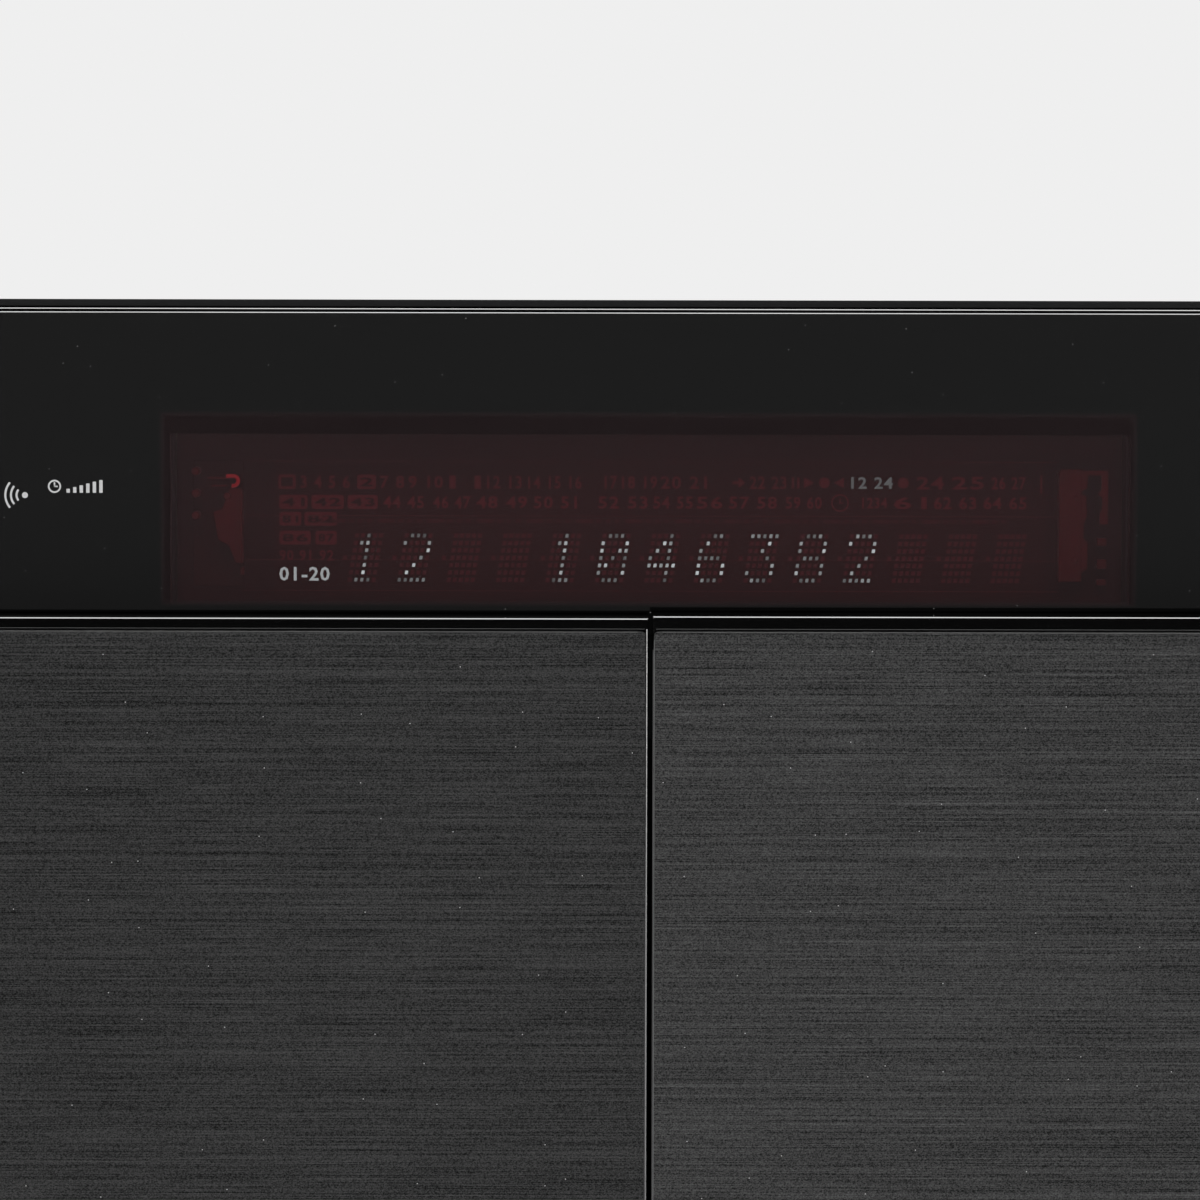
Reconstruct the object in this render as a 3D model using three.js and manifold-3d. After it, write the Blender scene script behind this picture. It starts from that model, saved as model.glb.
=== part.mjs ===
// Main unit of a disc and radio stereo system, in millimetres.
// X points right seen from the front, Y to the back and Z up. The origin is under the middle, on the floor.
// Two racks on one pinion slide the doors apart; below them a toothed tray comes out of the loader.

import * as THREE from 'three';
import { mergeVertices } from 'three/addons/utils/BufferGeometryUtils.js';
import Module from 'manifold-3d';

// Whole unit
const unitWidth = 280;
const unitDepth = 300;
const footHeight = 8;
const rearSocketReach = 8;
const seatGap = 0.3;
const overrun = 5;
const roundSides = 16;
const fineSides = 24;
const cornerSteps = 2;

// Sheet metal case
const coverThickness = 0.7;
const coverCornerRadius = 2;
const coverSetback = 0.5;
const chassisThickness = 1;
const chassisFlangeHeight = 12;
const ventLength = 44;
const ventWidth = 3;
const ventPitch = 8;
const ventRowGap = 12;
const ventRearMargin = 20;
const ventCount = 7;
const sideVentLow = 110;
const sideVentHigh = 160;
const footRadius = 15;
const footTaper = 1;
const footInsetX = 26;
const footInsetY = 32;
const footScrewRadius = 4;
const footScrewDepth = 5;

// Front frame
const frameThickness = 2.5;
const frameRimDepth = 10;
const frameRimThickness = 2;
const frameCornerRadius = 2;
const frameTopGap = 0.25;

// Display band
const panelThickness = 1.5;
const panelTopDrop = 1.4;
const panelSideInset = 0.8;
const panelHeight = 40.6;
const panelCornerRadius = 1;
const tubeWidth = 120;
const tubeHeight = 22;
const tubeBottomDrop = 39;
const tubeGlassDepth = 5;
const tubeWall = 1;
const tubeBaseThickness = 1.5;
const tubeClearance = 0.2;
const supportWidth = 6;
const supportHeight = 15;
const supportDepth = 3;
const supportInset = 1.2;
const holderWall = 1.6;
const holderHeight = 25;
const boardThickness = 1.6;
const displayBoardMargin = 12;
const displayBoardHeight = 31;
const bossRadius = 3;
const bossInset = 5;

// Doors
const doorStand = 9.5;
const doorThickness = 7.5;
const doorTopDrop = 39.06;
const doorHeight = 106;
const doorFasciaGap = 2.64;
const doorSideInset = 0.5;
const doorMiddleGap = 0.6;
const doorCornerRadius = 0.5;
const doorRecessRadius = 1;
const doorBezel = 1.6;
const doorInnerBezel = 0.35;
const doorPlateThickness = 1.3;
const doorPlateProud = 0.15;
const doorPlateFit = 0.1;
const doorWall = 2;
const doorWeb = 1.6;
const doorRibCount = 3;
const doorTravel = 70;

// Door drive
const railRadius = 1.5;
const railSetback = 5;
const railClearance = 0.3;
const carriageInset = 8;
const carriageEndGap = 6;
const carriageDepth = 7;
const carriageHeight = 7;
const stemThickness = 2;
const slotClearance = 0.5;
const levelGap = 0.5;
const rackThickness = 4;
const rackBacking = 3.5;
const rackOvertravel = 5;
const gearModule = 1.1;
const pinionTeeth = 16;
const wheelTeeth = 36;
const motorPinionTeeth = 10;
const wheelThickness = 1.8;
const axleRadius = 1.5;
const doorMotorRadius = 8;
const doorMotorLength = 18;
const motorShaftRadius = 1;
const lowerRailRise = 4.6;
const railBossDepth = 9;
const railBossLength = 4;
const railBossHeight = 9;

// Recess behind the doors
const baySideOverlap = 8;
const bayDoorOverlap = 12;
const motorLinerGap = 1.7;
const linerWall = 2;
const motorShelfReach = 25;
const cradleWidth = 60;
const cradleHeight = 12;
const cradleDepth = 30;
const cradleCornerRadius = 6;
const cradlePocketWidth = 52;
const cradlePocketDepth = 6;
const cradlePocketLength = 10;
const plugWidth = 22;
const plugThickness = 2;
const plugHeight = 3;
const keyWidth = 15;
const keyHeight = 9;
const keyCornerRadius = 2;
const keyProud = 2.5;
const keyFlange = 1;
const keyClearance = 0.3;
const keyTravel = 1.2;
const keyRows = 3;
const keyBoardStand = 4;
const keyBoardMotorGap = 4;
const switchSize = 6;
const switchGap = 0.4;
const knobRadius = 12;
const knobLength = 14;
const knobGripDepth = 0.6;
const knobGripCount = 18;
const knobShaftRadius = 3;
const encoderSize = 12;

// Lower fascia
const fasciaThickness = 2;
const fasciaHeight = 38.5;
const fasciaCornerRadius = 1.5;
const trayFrontLip = 1;
const trayFrontHeight = 22;
const trayFrontThickness = 3.5;
const trayFrontGap = 0.5;
const trayFrontRadius = 1.5;
const buttonRadius = 8;
const buttonLength = 6;
const buttonProud = 0.8;
const buttonFlange = 1;
const socketBodyDepth = 12;
const headphoneRadius = 3.2;
const headphoneHoleRadius = 1.8;
const headphoneBodySize = 11;
const usbWidth = 12.6;
const usbHeight = 5.2;
const usbWall = 0.5;
const usbDepth = 14;
const usbTongueThickness = 1.4;

// Disc loader
const loaderLegHeight = 6;
const loaderFloor = 2;
const loaderWall = 2.5;
const loaderLegRadius = 4;
const loaderWallHeight = 24;
const ledgeWidth = 5.5;
const ledgeThickness = 2;
const ledgeRise = 11;
const trayRimWidth = 8;
const trayFrontMargin = 9;
const trayRetained = 19.5;
const traySideGap = 3;
const trayRearGap = 3.3;
const trayThickness = 5;
const discExitMargin = 4;
const trayRunningGap = 0.3;
const discRadius = 60.5;
const smallDiscRadius = 41;
const discRecess = 2;
const smallDiscRecess = 1;
const traySlotWidth = 42;
const trayModule = 1.25;
const trayRackInset = 5;
const trayRackBacking = 4;
const trayRackThickness = 4;
const driveTeeth = 20;
const loaderMotorTeeth = 10;
const driveGearBack = 16.5;
const driveGearThickness = 3.6;
const loaderMotorRadius = 9;
const loaderMotorHeight = 8;
const bridgeWidth = 30;
const bridgeThickness = 2;
const clampRadius = 13;
const clampNeckRadius = 9.5;
const clampFlangeRadius = 12;
const clampRise = 1.6;
const clampPlate = 2.6;
const clampFlange = 1.2;
const turntableRadius = 15;
const turntableRim = 1.2;
const turntableRise = 0.7;
const turntableBossRadius = 4;
const hubRadius = 7.3;
const hubTopRadius = 5;
const hubHeight = 2;
const spindleRadius = 1;
const traverseWidth = 66;
const traverseThickness = 2;
const traverseRise = 4;
const traverseFront = 24;
const traverseBack = 82;
const spindleMotorRadius = 12;
const spindleMotorHeight = 6;
const pivotRadius = 2;
const pivotLength = 4;
const pivotEarThickness = 4;
const sledWidth = 30;
const sledLength = 20;
const sledHeight = 6;
const sledTravel = 33;
const sledStart = 24;
const sledOpeningMargin = 1.5;
const lensRadius = 3.2;
const lensRise = 3;
const guideRadius = 1;
const guideBlock = 4;

// Electronics
const boardStand = 6;
const boardPostRadius = 3;
const mainBoardLoaderGap = 20;
const mainBoardSideGap = 8;
const mainBoardLeftInset = 7;
const mainBoardRearInset = 7;
const sinkWidth = 90;
const sinkHeight = 62;
const sinkBase = 4;
const sinkFinLength = 18;
const sinkFinThickness = 1.6;
const sinkFinCount = 10;
const sinkRearInset = 25;
const transformerWidth = 48;
const transformerDepth = 46;
const transformerHeight = 46;
const transformerInset = 12;
const transformerForward = 30;
const coilBulge = 8;
const coilWindow = 8;
const bracketFoot = 5;
const bracketThickness = 1.5;
const fanSize = 60;
const fanThickness = 15;
const fanBoreRadius = 28.5;
const fanHubRadius = 13;
const fanTipGap = 1;
const fanCornerRadius = 4;
const fanStrutWidth = 4;
const fanStrutThickness = 2.5;
const fanBladeCount = 7;
const fanBladeThickness = 1.4;
const fanBladePitch = 10;
const fanPinRadius = 1.5;
const fanOffset = 60;
const fanRise = 125;
const grilleBar = 2;
const grilleSlot = 4;
const speakerBlockWidth = 52;
const speakerBlockHeight = 24;
const speakerBlockReach = 5;
const speakerBlockInside = 10;
const speakerSlotWidth = 14;
const speakerSlotHeight = 5;
const speakerSlotPitch = 24;
const speakerSlotCount = 2;
const speakerRowCount = 2;
const speakerOffset = 60;
const speakerRise = 60;
const inputPlateWidth = 62;
const inputPlateHeight = 22;
const inputPlateThickness = 2;
const inputBodyDepth = 12;
const inputOffset = 20;
const phonoRadius = 4.2;
const phonoFlangeRadius = 6;
const phonoFlange = 2;
const phonoHoleRadius = 1.6;
const inputPitch = 18;
const inputCount = 3;
const inletWidth = 26;
const inletHeight = 16;
const inletDepth = 16;
const inletFlange = 1.6;
const inletLip = 2;
const inletSocketWidth = 17;
const inletSocketHeight = 9.5;
const inletSocketDepth = 11;
const inletPinRadius = 1.2;
const inletPinPitch = 8.6;
const inletPinLength = 8;
const inletRise = 34;
const inletInset = 32;

// Tooth proportions, as shares of the module or of the pitch
const addendumShare = 0.9;
const dedendumShare = 1.2;
const tipShare = 0.2;
const rootShare = 0.56;

// Places between the tray's front and the side of the unit, as shares of that width
const innerShare = 0.3;
const outerShare = 0.7;

// Planes that the parts share
const unitHeight = footHeight + panelSideInset + fasciaHeight + doorFasciaGap + doorHeight + doorTopDrop;
const halfWidth = unitWidth / 2;
const doorFace = -unitDepth / 2;
const doorBack = doorFace + doorThickness;
const panelFace = doorFace + doorStand;
const frameFace = panelFace + panelThickness;
const frameBack = frameFace + frameThickness;
const rimBack = frameBack + frameRimDepth;
const rearFace = unitDepth / 2 - rearSocketReach;
const rearInside = rearFace - chassisThickness;
const floorTop = footHeight + chassisThickness;
const caseTop = unitHeight - coverThickness;
const doorTop = unitHeight - doorTopDrop;
const doorBottom = doorTop - doorHeight;

const span = (middle, size) => [middle - size / 2, middle + size / 2];
const from = (start, size) => [start, start + size];
const upTo = (end, size) => [end - size, end];
const grow = ([low, high], by) => [low - by, high + by];
const middleOf = ([low, high]) => (low + high) / 2;

const bayX = span(0, 2 * (doorTravel - baySideOverlap));
const bayInset = bayDoorOverlap + stemThickness + linerWall;
const bayZ = [doorBottom + bayDoorOverlap, doorTop - bayInset];
const shelfTop = bayZ[1] + linerWall;

const wheelZ = from(shelfTop + levelGap, wheelThickness);
const rackZ = from(wheelZ[1] + levelGap, rackThickness);
const stemZ = from(rackZ[1] + levelGap, stemThickness);
const railY = frameBack + railSetback;
const upperRailZ = middleOf(stemZ);
const lowerRailZ = doorBottom + lowerRailRise;
const carriageY = span(railY, carriageDepth);
const toothHeight = gearModule * dedendumShare;
const pinionRadius = gearModule * pinionTeeth / 2;
const wheelRadius = gearModule * wheelTeeth / 2;
const motorPinionRadius = gearModule * motorPinionTeeth / 2;
const frontPitchLine = carriageY[1] + levelGap + rackBacking + toothHeight;
const pinionY = frontPitchLine + pinionRadius;
const rearPitchLine = pinionY + pinionRadius;
const doorMotorY = pinionY + wheelRadius + motorPinionRadius;
const shelfBack = doorMotorY + doorMotorRadius + linerWall;
const linerBack = doorMotorY - doorMotorRadius - motorLinerGap;
const linerBackInside = linerBack - linerWall;
const railBossX = upTo(halfWidth - frameRimThickness, railBossLength);
const carriageX = [carriageInset, railBossX[0] - carriageEndGap - doorTravel];

const tubeBottom = unitHeight - tubeBottomDrop;
const tubeZ = from(tubeBottom, tubeHeight);
const tubeX = span(0, tubeWidth);
const tubeGlassY = from(frameBack, tubeGlassDepth);
const tubeBaseY = from(tubeGlassY[1], tubeBaseThickness);
const holderZ = from(tubeBottom - tubeClearance - holderWall, holderHeight);
const displayBoardY = from(tubeBaseY[1], boardThickness);
const displayBoardX = grow(tubeX, displayBoardMargin);
const displayBoardZ = from(holderZ[0], displayBoardHeight);

const trayWidth = 2 * (discRadius + trayRimWidth);
const discCentreBack = trayFrontMargin + discRadius;
const trayTravel = discCentreBack + discRadius + discExitMargin;
const trayFrontY = from(frameFace - fasciaThickness, trayFrontThickness);
const trayY = from(trayFrontY[1], trayTravel + trayRetained);
const discY = trayY[0] + discCentreBack;
const loaderX = span(0, trayWidth + 2 * (traySideGap + loaderWall));
const loaderY = [frameBack + seatGap, trayY[1] + trayRearGap + loaderWall];
const loaderFloorZ = from(floorTop + loaderLegHeight, loaderFloor);
const loaderTop = loaderFloorZ[1] + loaderWallHeight;
const ledgeZ = from(loaderFloorZ[1] + ledgeRise, ledgeThickness);
const trayZ = from(ledgeZ[1] + trayRunningGap, trayThickness);
const recessZ = trayZ[1] - discRecess;
const trayRackX = -trayWidth / 2 + trayRackInset;
const trayPitchLine = trayRackX + trayRackBacking + trayModule * dedendumShare;
const driveRadius = trayModule * driveTeeth / 2;
const loaderMotorGearRadius = trayModule * loaderMotorTeeth / 2;
const driveX = trayPitchLine + driveRadius;
const driveY = loaderY[0] + driveGearBack;
const loaderMotorX = driveX + driveRadius + loaderMotorGearRadius;
const driveGearZ = upTo(trayZ[0] - seatGap, driveGearThickness);
const traverseZ = from(loaderFloorZ[1] + traverseRise, traverseThickness);
const traverseY = [discY - traverseFront, discY + traverseBack];
const turntableTop = trayZ[1] + turntableRise;
const clampBottom = turntableTop + clampRise;
const bridgeZ = from(loaderTop, bridgeThickness);
const sledY = span(discY + sledStart, sledLength);
const sledZ = from(traverseZ[1] + seatGap, sledHeight);
const pivotY = traverseY[1] - pivotRadius - pivotRadius;
const pivotZ = middleOf(traverseZ);

const transformerX = upTo(halfWidth - transformerInset, transformerWidth);
const mainBoardX = [-halfWidth + mainBoardLeftInset, transformerX[0] - bracketFoot - mainBoardSideGap];
const mainBoardY = [loaderY[1] + mainBoardLoaderGap, rearInside - mainBoardRearInset];
const mainBoardZ = from(floorTop + boardStand, boardThickness);
const fanX = -fanOffset;
const fanZ = fanRise;
const fanY = upTo(rearInside, fanThickness);
const speakerX = span(speakerOffset, speakerBlockWidth);
const speakerZ = span(speakerRise, speakerBlockHeight);
const inputX = span(-inputOffset, inputPlateWidth);
const inputZ = span(speakerRise, inputPlateHeight);
const inletX = span(halfWidth - inletInset, inletWidth);
const inletZ = span(inletRise, inletHeight);

// Shapes
const rectangle = (u, v, radius = 0) => {
  const shape = new THREE.Shape();
  if (radius === 0) {
    shape.moveTo(u[0], v[0]);
    shape.lineTo(u[1], v[0]);
    shape.lineTo(u[1], v[1]);
    shape.lineTo(u[0], v[1]);
    return shape;
  }
  const quarter = Math.PI / 2;
  shape.absarc(u[1] - radius, v[0] + radius, radius, -quarter, 0);
  shape.absarc(u[1] - radius, v[1] - radius, radius, 0, quarter);
  shape.absarc(u[0] + radius, v[1] - radius, radius, quarter, Math.PI);
  shape.absarc(u[0] + radius, v[0] + radius, radius, Math.PI, Math.PI + quarter);
  return shape;
};

const polygon = (points) => new THREE.Shape(points.map(([u, v]) => new THREE.Vector2(u, v)));

const circle = (u, v, radius, sides = roundSides) => {
  const points = [];
  for (let i = 0; i < sides; i += 1) {
    const angle = 2 * Math.PI * i / sides;
    points.push([u + radius * Math.cos(angle), v + radius * Math.sin(angle)]);
  }
  return polygon(points);
};

const gear = (u, v, teeth, module, firstTooth) => {
  const pitchRadius = module * teeth / 2;
  const tip = pitchRadius + module * addendumShare;
  const root = pitchRadius - module * dedendumShare;
  const pitchAngle = 2 * Math.PI / teeth;
  const corners = [[root, -rootShare], [tip, -tipShare], [tip, tipShare], [root, rootShare]];
  const points = [];
  for (let i = 0; i < teeth; i += 1) {
    for (const [radius, share] of corners) {
      const angle = firstTooth + pitchAngle * (i + share / 2);
      points.push([u + radius * Math.cos(angle), v + radius * Math.sin(angle)]);
    }
  }
  return polygon(points);
};

// A rack along u from start to end, with its back at v and its teeth towards the pitch line
const rack = (start, end, back, pitchLine, module, gapAt) => {
  const side = Math.sign(pitchLine - back);
  const tip = pitchLine + side * module * addendumShare;
  const root = pitchLine - side * module * dedendumShare;
  const pitch = Math.PI * module;
  const firstGap = gapAt + pitch * Math.ceil((start - gapAt) / pitch);
  const points = [[start, back], [start, root]];
  for (let place = firstGap + pitch / 2; place + pitch / 2 < end; place += pitch) {
    points.push([place - pitch * rootShare / 2, root], [place - pitch * tipShare / 2, tip]);
    points.push([place + pitch * tipShare / 2, tip], [place + pitch * rootShare / 2, root]);
  }
  points.push([end, root], [end, back]);
  return polygon(side > 0 ? points.reverse() : points);
};

// Solids
const wasm = await Module();
wasm.setup();

const solid = (geometry) => {
  geometry.deleteAttribute('normal');
  geometry.deleteAttribute('uv');
  const merged = mergeVertices(geometry);
  const corners = merged.index.array;
  const triangles = [];
  for (let i = 0; i < corners.length; i += 3) {
    const [a, b, c] = corners.slice(i, i + 3);
    if (a !== b && b !== c && c !== a) {
      triangles.push(a, b, c);
    }
  }
  return new wasm.Manifold(new wasm.Mesh({
    numProp: 3,
    vertProperties: new Float32Array(merged.attributes.position.array),
    triVerts: new Uint32Array(triangles),
  }));
};

const extrude = (shape, depth) =>
  new THREE.ExtrudeGeometry(shape, { depth, bevelEnabled: false, curveSegments: cornerSteps });

const right = new THREE.Vector3(1, 0, 0);
const back = new THREE.Vector3(0, 1, 0);
const up = new THREE.Vector3(0, 0, 1);
const standing = new THREE.Matrix4().makeBasis(right, up, back.clone().negate());
const sideways = new THREE.Matrix4().makeBasis(back, up, right);

// Outlines seen from above, from the front and from the right
const fromAbove = (shape, [low, high]) => solid(extrude(shape, high - low).translate(0, 0, low));
const fromFront = (shape, [front, rear]) =>
  solid(extrude(shape, rear - front).applyMatrix4(standing).translate(0, rear, 0));
const fromSide = (shape, [left, far]) =>
  solid(extrude(shape, far - left).applyMatrix4(sideways).translate(left, 0, 0));

const box = (x, y, z) => fromAbove(rectangle(x, y), z);
const pin = (x, y, radius, z) => fromAbove(circle(x, y, radius), z);

const turned = (points, sides = fineSides) => {
  const profile = points.map(([radius, height]) => new THREE.Vector2(radius, height));
  return solid(new THREE.LatheGeometry(profile, sides).rotateX(Math.PI / 2));
};

const joined = (first, ...others) => others.reduce((whole, piece) => whole.add(piece), first);
const cut = (first, ...others) => others.reduce((whole, piece) => whole.subtract(piece), first);
const pierced = (make, outline, range, holes) =>
  cut(make(outline, range), ...holes.map((hole) => make(hole, grow(range, overrun))));
const mirrored = (piece) => piece.mirror([1, 0, 0]);
const spread = (count, pitch) => Array.from({ length: count }, (_, i) => (i - (count - 1) / 2) * pitch);

// Materials
const finish = (color, roughness, metalness = 0) =>
  new THREE.MeshStandardMaterial({ color, roughness, metalness });
const finishes = {
  cover: () => finish(0x26272a, 0.55, 0.3),
  gloss: () => finish(0x0b0b0c, 0.12),
  black: () => finish(0x151516, 0.5),
  brushed: () => finish(0x3a3a3b, 0.38, 0.8),
  steel: () => finish(0x9a9c9e, 0.4, 0.9),
  glass: () => finish(0x3a1c1c, 0.1),
  board: () => finish(0x2f6b3c, 0.6),
  rubber: () => finish(0x1b1b1b, 0.85),
  white: () => finish(0xd8d8d2, 0.5),
  copper: () => finish(0x9a5a30, 0.45, 0.6),
};

const stereo = new THREE.Group();

const place = (name, piece, material, group = stereo) => {
  const data = piece.getMesh();
  const geometry = new THREE.BufferGeometry();
  geometry.setAttribute('position', new THREE.BufferAttribute(new Float32Array(data.vertProperties), 3));
  geometry.setIndex(new THREE.BufferAttribute(new Uint32Array(data.triVerts), 1));
  const mesh = new THREE.Mesh(geometry, material);
  mesh.name = name;
  group.add(mesh);
};

// Case
const bottomChassis = () => {
  const x = grow(span(0, unitWidth), -coverThickness - seatGap);
  const y = [rimBack + seatGap, rearInside];
  const floor = box(x, y, [footHeight, floorTop]);
  const flangeZ = [footHeight, floorTop + chassisFlangeHeight];
  const leftFlange = box(from(x[0], chassisThickness), y, flangeZ);
  const rightFlange = box(upTo(x[1], chassisThickness), y, flangeZ);
  const postZ = [footHeight, floorTop + boardStand];
  const posts = boardPosts().map(([px, py]) => pin(px, py, boardPostRadius, postZ));
  const vents = spread(ventCount, ventPitch).map((offset) =>
    box(span(fanX + offset, ventWidth), span(0, ventLength), [0, floorTop + overrun]));
  return cut(joined(floor, leftFlange, rightFlange, ...posts), ...vents);
};

const boardPosts = () => {
  const [left, far] = grow(mainBoardX, -bossInset);
  const [front, rear] = grow(mainBoardY, -bossInset);
  return [[left, front], [far, front], [left, rear], [far, rear]];
};

const topCover = () => {
  const y = [frameFace + coverSetback, rearFace];
  const wide = grow(span(0, unitWidth), overrun);
  const low = footHeight - coverCornerRadius - overrun;
  const outer = rectangle(span(0, unitWidth), [low, unitHeight], coverCornerRadius);
  const innerX = grow(span(0, unitWidth), -coverThickness);
  const inner = rectangle(innerX, [low - overrun, caseTop], coverCornerRadius - coverThickness);
  const shell = pierced(fromFront, outer, y, [inner]);
  const below = box(wide, grow(y, overrun), [low - overrun, footHeight]);
  const frontCut = box(wide, [y[0] - overrun, rimBack + seatGap], [0, caseTop]);
  const rearRow = rearFace - ventRearMargin - ventLength / 2;
  const rows = [rearRow, rearRow - ventLength - ventRowGap];
  const offsets = spread(ventCount, ventPitch);
  const columns = [-fanOffset, fanOffset].flatMap((x) => offsets.map((offset) => x + offset));
  const topZ = grow([caseTop, unitHeight], overrun);
  const topVents = rows.flatMap((rowY) =>
    columns.map((x) => box(span(x, ventWidth), span(rowY, ventLength), topZ)));
  const sideVents = offsets.map((offset) =>
    box(wide, span(rearRow + offset, ventWidth), [sideVentLow, sideVentHigh]));
  return cut(shell, below, frontCut, ...topVents, ...sideVents);
};

const grilleShapes = () => {
  const pitch = grilleSlot + grilleBar;
  const count = Math.floor(2 * fanBoreRadius / pitch);
  const slots = [];
  for (const offset of spread(count, pitch)) {
    const reach = Math.sqrt(fanBoreRadius ** 2 - (Math.abs(offset) + grilleSlot / 2) ** 2);
    slots.push(rectangle(span(fanX, 2 * reach), span(fanZ + offset, grilleSlot)));
  }
  return slots;
};

const rearPanel = () => {
  const x = grow(span(0, unitWidth), -coverThickness - seatGap);
  const outline = rectangle(x, [footHeight, caseTop - seatGap], coverCornerRadius);
  return pierced(fromFront, outline, [rearInside, rearFace], [
    ...grilleShapes(),
    rectangle(grow(speakerX, seatGap), grow(speakerZ, seatGap)),
    rectangle(grow(inputX, -inputPlateThickness), grow(inputZ, -inputPlateThickness)),
    rectangle(grow(inletX, seatGap), grow(inletZ, seatGap)),
  ]);
};

const footPlaces = () => {
  const x = halfWidth - footInsetX;
  const front = rimBack + footInsetY;
  const rear = rearInside - footInsetY;
  return { front_left: [-x, front], front_right: [x, front], rear_left: [-x, rear], rear_right: [x, rear] };
};

const foot = () => turned([
  [footScrewRadius / 2, footScrewDepth],
  [footScrewRadius, footScrewDepth],
  [footScrewRadius, 0],
  [footRadius - footTaper, 0],
  [footRadius, footTaper],
  [footRadius, footHeight],
  [footScrewRadius / 2, footHeight],
  [footScrewRadius / 2, footScrewDepth],
]);

// Front frame with the windows, the slots for the door stems and the bosses for the rails
const displayHole = [grow(tubeX, tubeClearance), [tubeZ[0], tubeZ[1] + tubeClearance]];
const fasciaZ = from(footHeight + panelSideInset, fasciaHeight);
const trayFrontX = span(0, trayWidth + 2 * trayFrontLip);
const trayFrontZ = span(middleOf(fasciaZ), trayFrontHeight);
const trayHole = [grow(trayFrontX, trayFrontGap), grow(trayFrontZ, trayFrontGap)];
const buttonZ = middleOf(fasciaZ);
const sideStrip = halfWidth - trayHole[0][1];
const innerX = trayHole[0][1] + sideStrip * innerShare;
const outerX = trayHole[0][1] + sideStrip * outerShare;

const stemSlots = () => {
  const x = [carriageX[0] - slotClearance, carriageX[1] + doorTravel + slotClearance];
  const slots = [];
  for (const z of [upperRailZ, lowerRailZ]) {
    const slotZ = grow(span(z, stemThickness), slotClearance);
    slots.push(rectangle(x, slotZ), rectangle([-x[1], -x[0]], slotZ));
  }
  return slots;
};

const roundHoles = () => [
  circle(-outerX, buttonZ, buttonRadius + keyClearance),
  circle(outerX, buttonZ, buttonRadius + keyClearance),
  circle(innerX, buttonZ, headphoneRadius + keyClearance),
];

const usbHole = () => {
  const x = span(-innerX, usbWidth);
  return rectangle(grow(x, seatGap), grow(span(buttonZ, usbHeight), seatGap));
};

const railBoss = (z) => {
  const y = [frameBack - frameThickness / 2, frameBack + railBossDepth];
  const body = box(railBossX, y, span(z, railBossHeight));
  const bore = fromSide(circle(railY, z, railRadius + railClearance), grow(railBossX, overrun));
  return cut(body, bore);
};

const frontFrame = () => {
  const x = span(0, unitWidth);
  const z = [footHeight, caseTop - frameTopGap];
  const outline = rectangle(x, z, frameCornerRadius);
  const windows = [rectangle(...displayHole), rectangle(bayX, bayZ), rectangle(...trayHole)];
  const holes = [...windows, ...stemSlots(), ...roundHoles(), usbHole()];
  const plate = pierced(fromFront, outline, [frameFace, frameBack], holes);
  const rimInside = rectangle(grow(x, -frameRimThickness), grow(z, -frameRimThickness));
  const rim = pierced(fromFront, outline, [frameBack, rimBack], [rimInside]);
  const bosses = [upperRailZ, lowerRailZ].flatMap((height) => [railBoss(height), mirrored(railBoss(height))]);
  const boardX = displayBoardX[1] - bossInset;
  const boardZ = displayBoardZ[1] - bossInset;
  const posts = [-boardX, boardX].map((px) =>
    fromFront(circle(px, boardZ, bossRadius), [frameBack - frameThickness / 2, displayBoardY[0]]));
  return joined(plate, rim, ...bosses, ...posts);
};

// Display
const displayPanel = () => {
  const x = grow(span(0, unitWidth), -panelSideInset);
  const top = unitHeight - panelTopDrop;
  return fromFront(rectangle(x, [top - panelHeight, top], panelCornerRadius), [panelFace, frameFace]);
};

const tubeGlass = () => {
  const cavityY = [tubeGlassY[0] + tubeWall, tubeGlassY[1] + overrun];
  const cavity = box(grow(tubeX, -tubeWall), cavityY, grow(tubeZ, -tubeWall));
  return cut(box(tubeX, tubeGlassY, tubeZ), cavity);
};

const tubeBase = () => {
  const z = middleOf(tubeZ);
  const y = [tubeGlassY[1] - supportDepth, tubeGlassY[1] + tubeBaseThickness / 2];
  const x = from(tubeX[0] + tubeWall + supportInset, supportWidth);
  const support = box(x, y, span(z, supportHeight));
  return joined(box(tubeX, tubeBaseY, tubeZ), support, mirrored(support));
};

const displayHolder = () => {
  const hole = rectangle(grow(tubeX, tubeClearance), grow(tubeZ, tubeClearance));
  const ring = rectangle(grow(tubeX, tubeClearance + holderWall), holderZ);
  return pierced(fromFront, ring, [frameBack, tubeBaseY[1]], [hole]);
};

const displayBoard = () => box(displayBoardX, displayBoardY, displayBoardZ);

// Doors, drawn for the right side
const doorX = [doorMiddleGap / 2, halfWidth - doorSideInset];
const plateX = [doorX[0] + doorInnerBezel, doorX[1] - doorBezel];
const plateZ = [doorBottom + doorBezel, doorTop - doorBezel];
const plateSeat = doorFace + doorPlateThickness - doorPlateProud;

const doorCover = () => {
  const outline = rectangle(doorX, [doorBottom, doorTop], doorCornerRadius);
  const body = fromFront(outline, [doorFace + doorPlateProud, doorBack]);
  const recess = fromFront(rectangle(plateX, plateZ, doorRecessRadius), [doorFace - overrun, plateSeat]);
  const hollowX = grow(doorX, -doorWall);
  const hollowZ = grow([doorBottom, doorTop], -doorWall);
  const hollow = box(hollowX, [plateSeat + doorWeb, doorBack + overrun], hollowZ);
  const ribPitch = (hollowX[1] - hollowX[0]) / (doorRibCount + 1);
  const ribY = [plateSeat + doorWeb / 2, doorBack];
  const ribs = spread(doorRibCount, ribPitch).map((offset) =>
    box(span(middleOf(hollowX) + offset, doorWall), ribY, grow(hollowZ, doorWall / 2)));
  const pads = [upperRailZ, lowerRailZ].map((z) => box(carriageX, ribY, span(z, carriageHeight)));
  return joined(cut(body, recess, hollow), ...ribs, ...pads);
};

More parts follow.
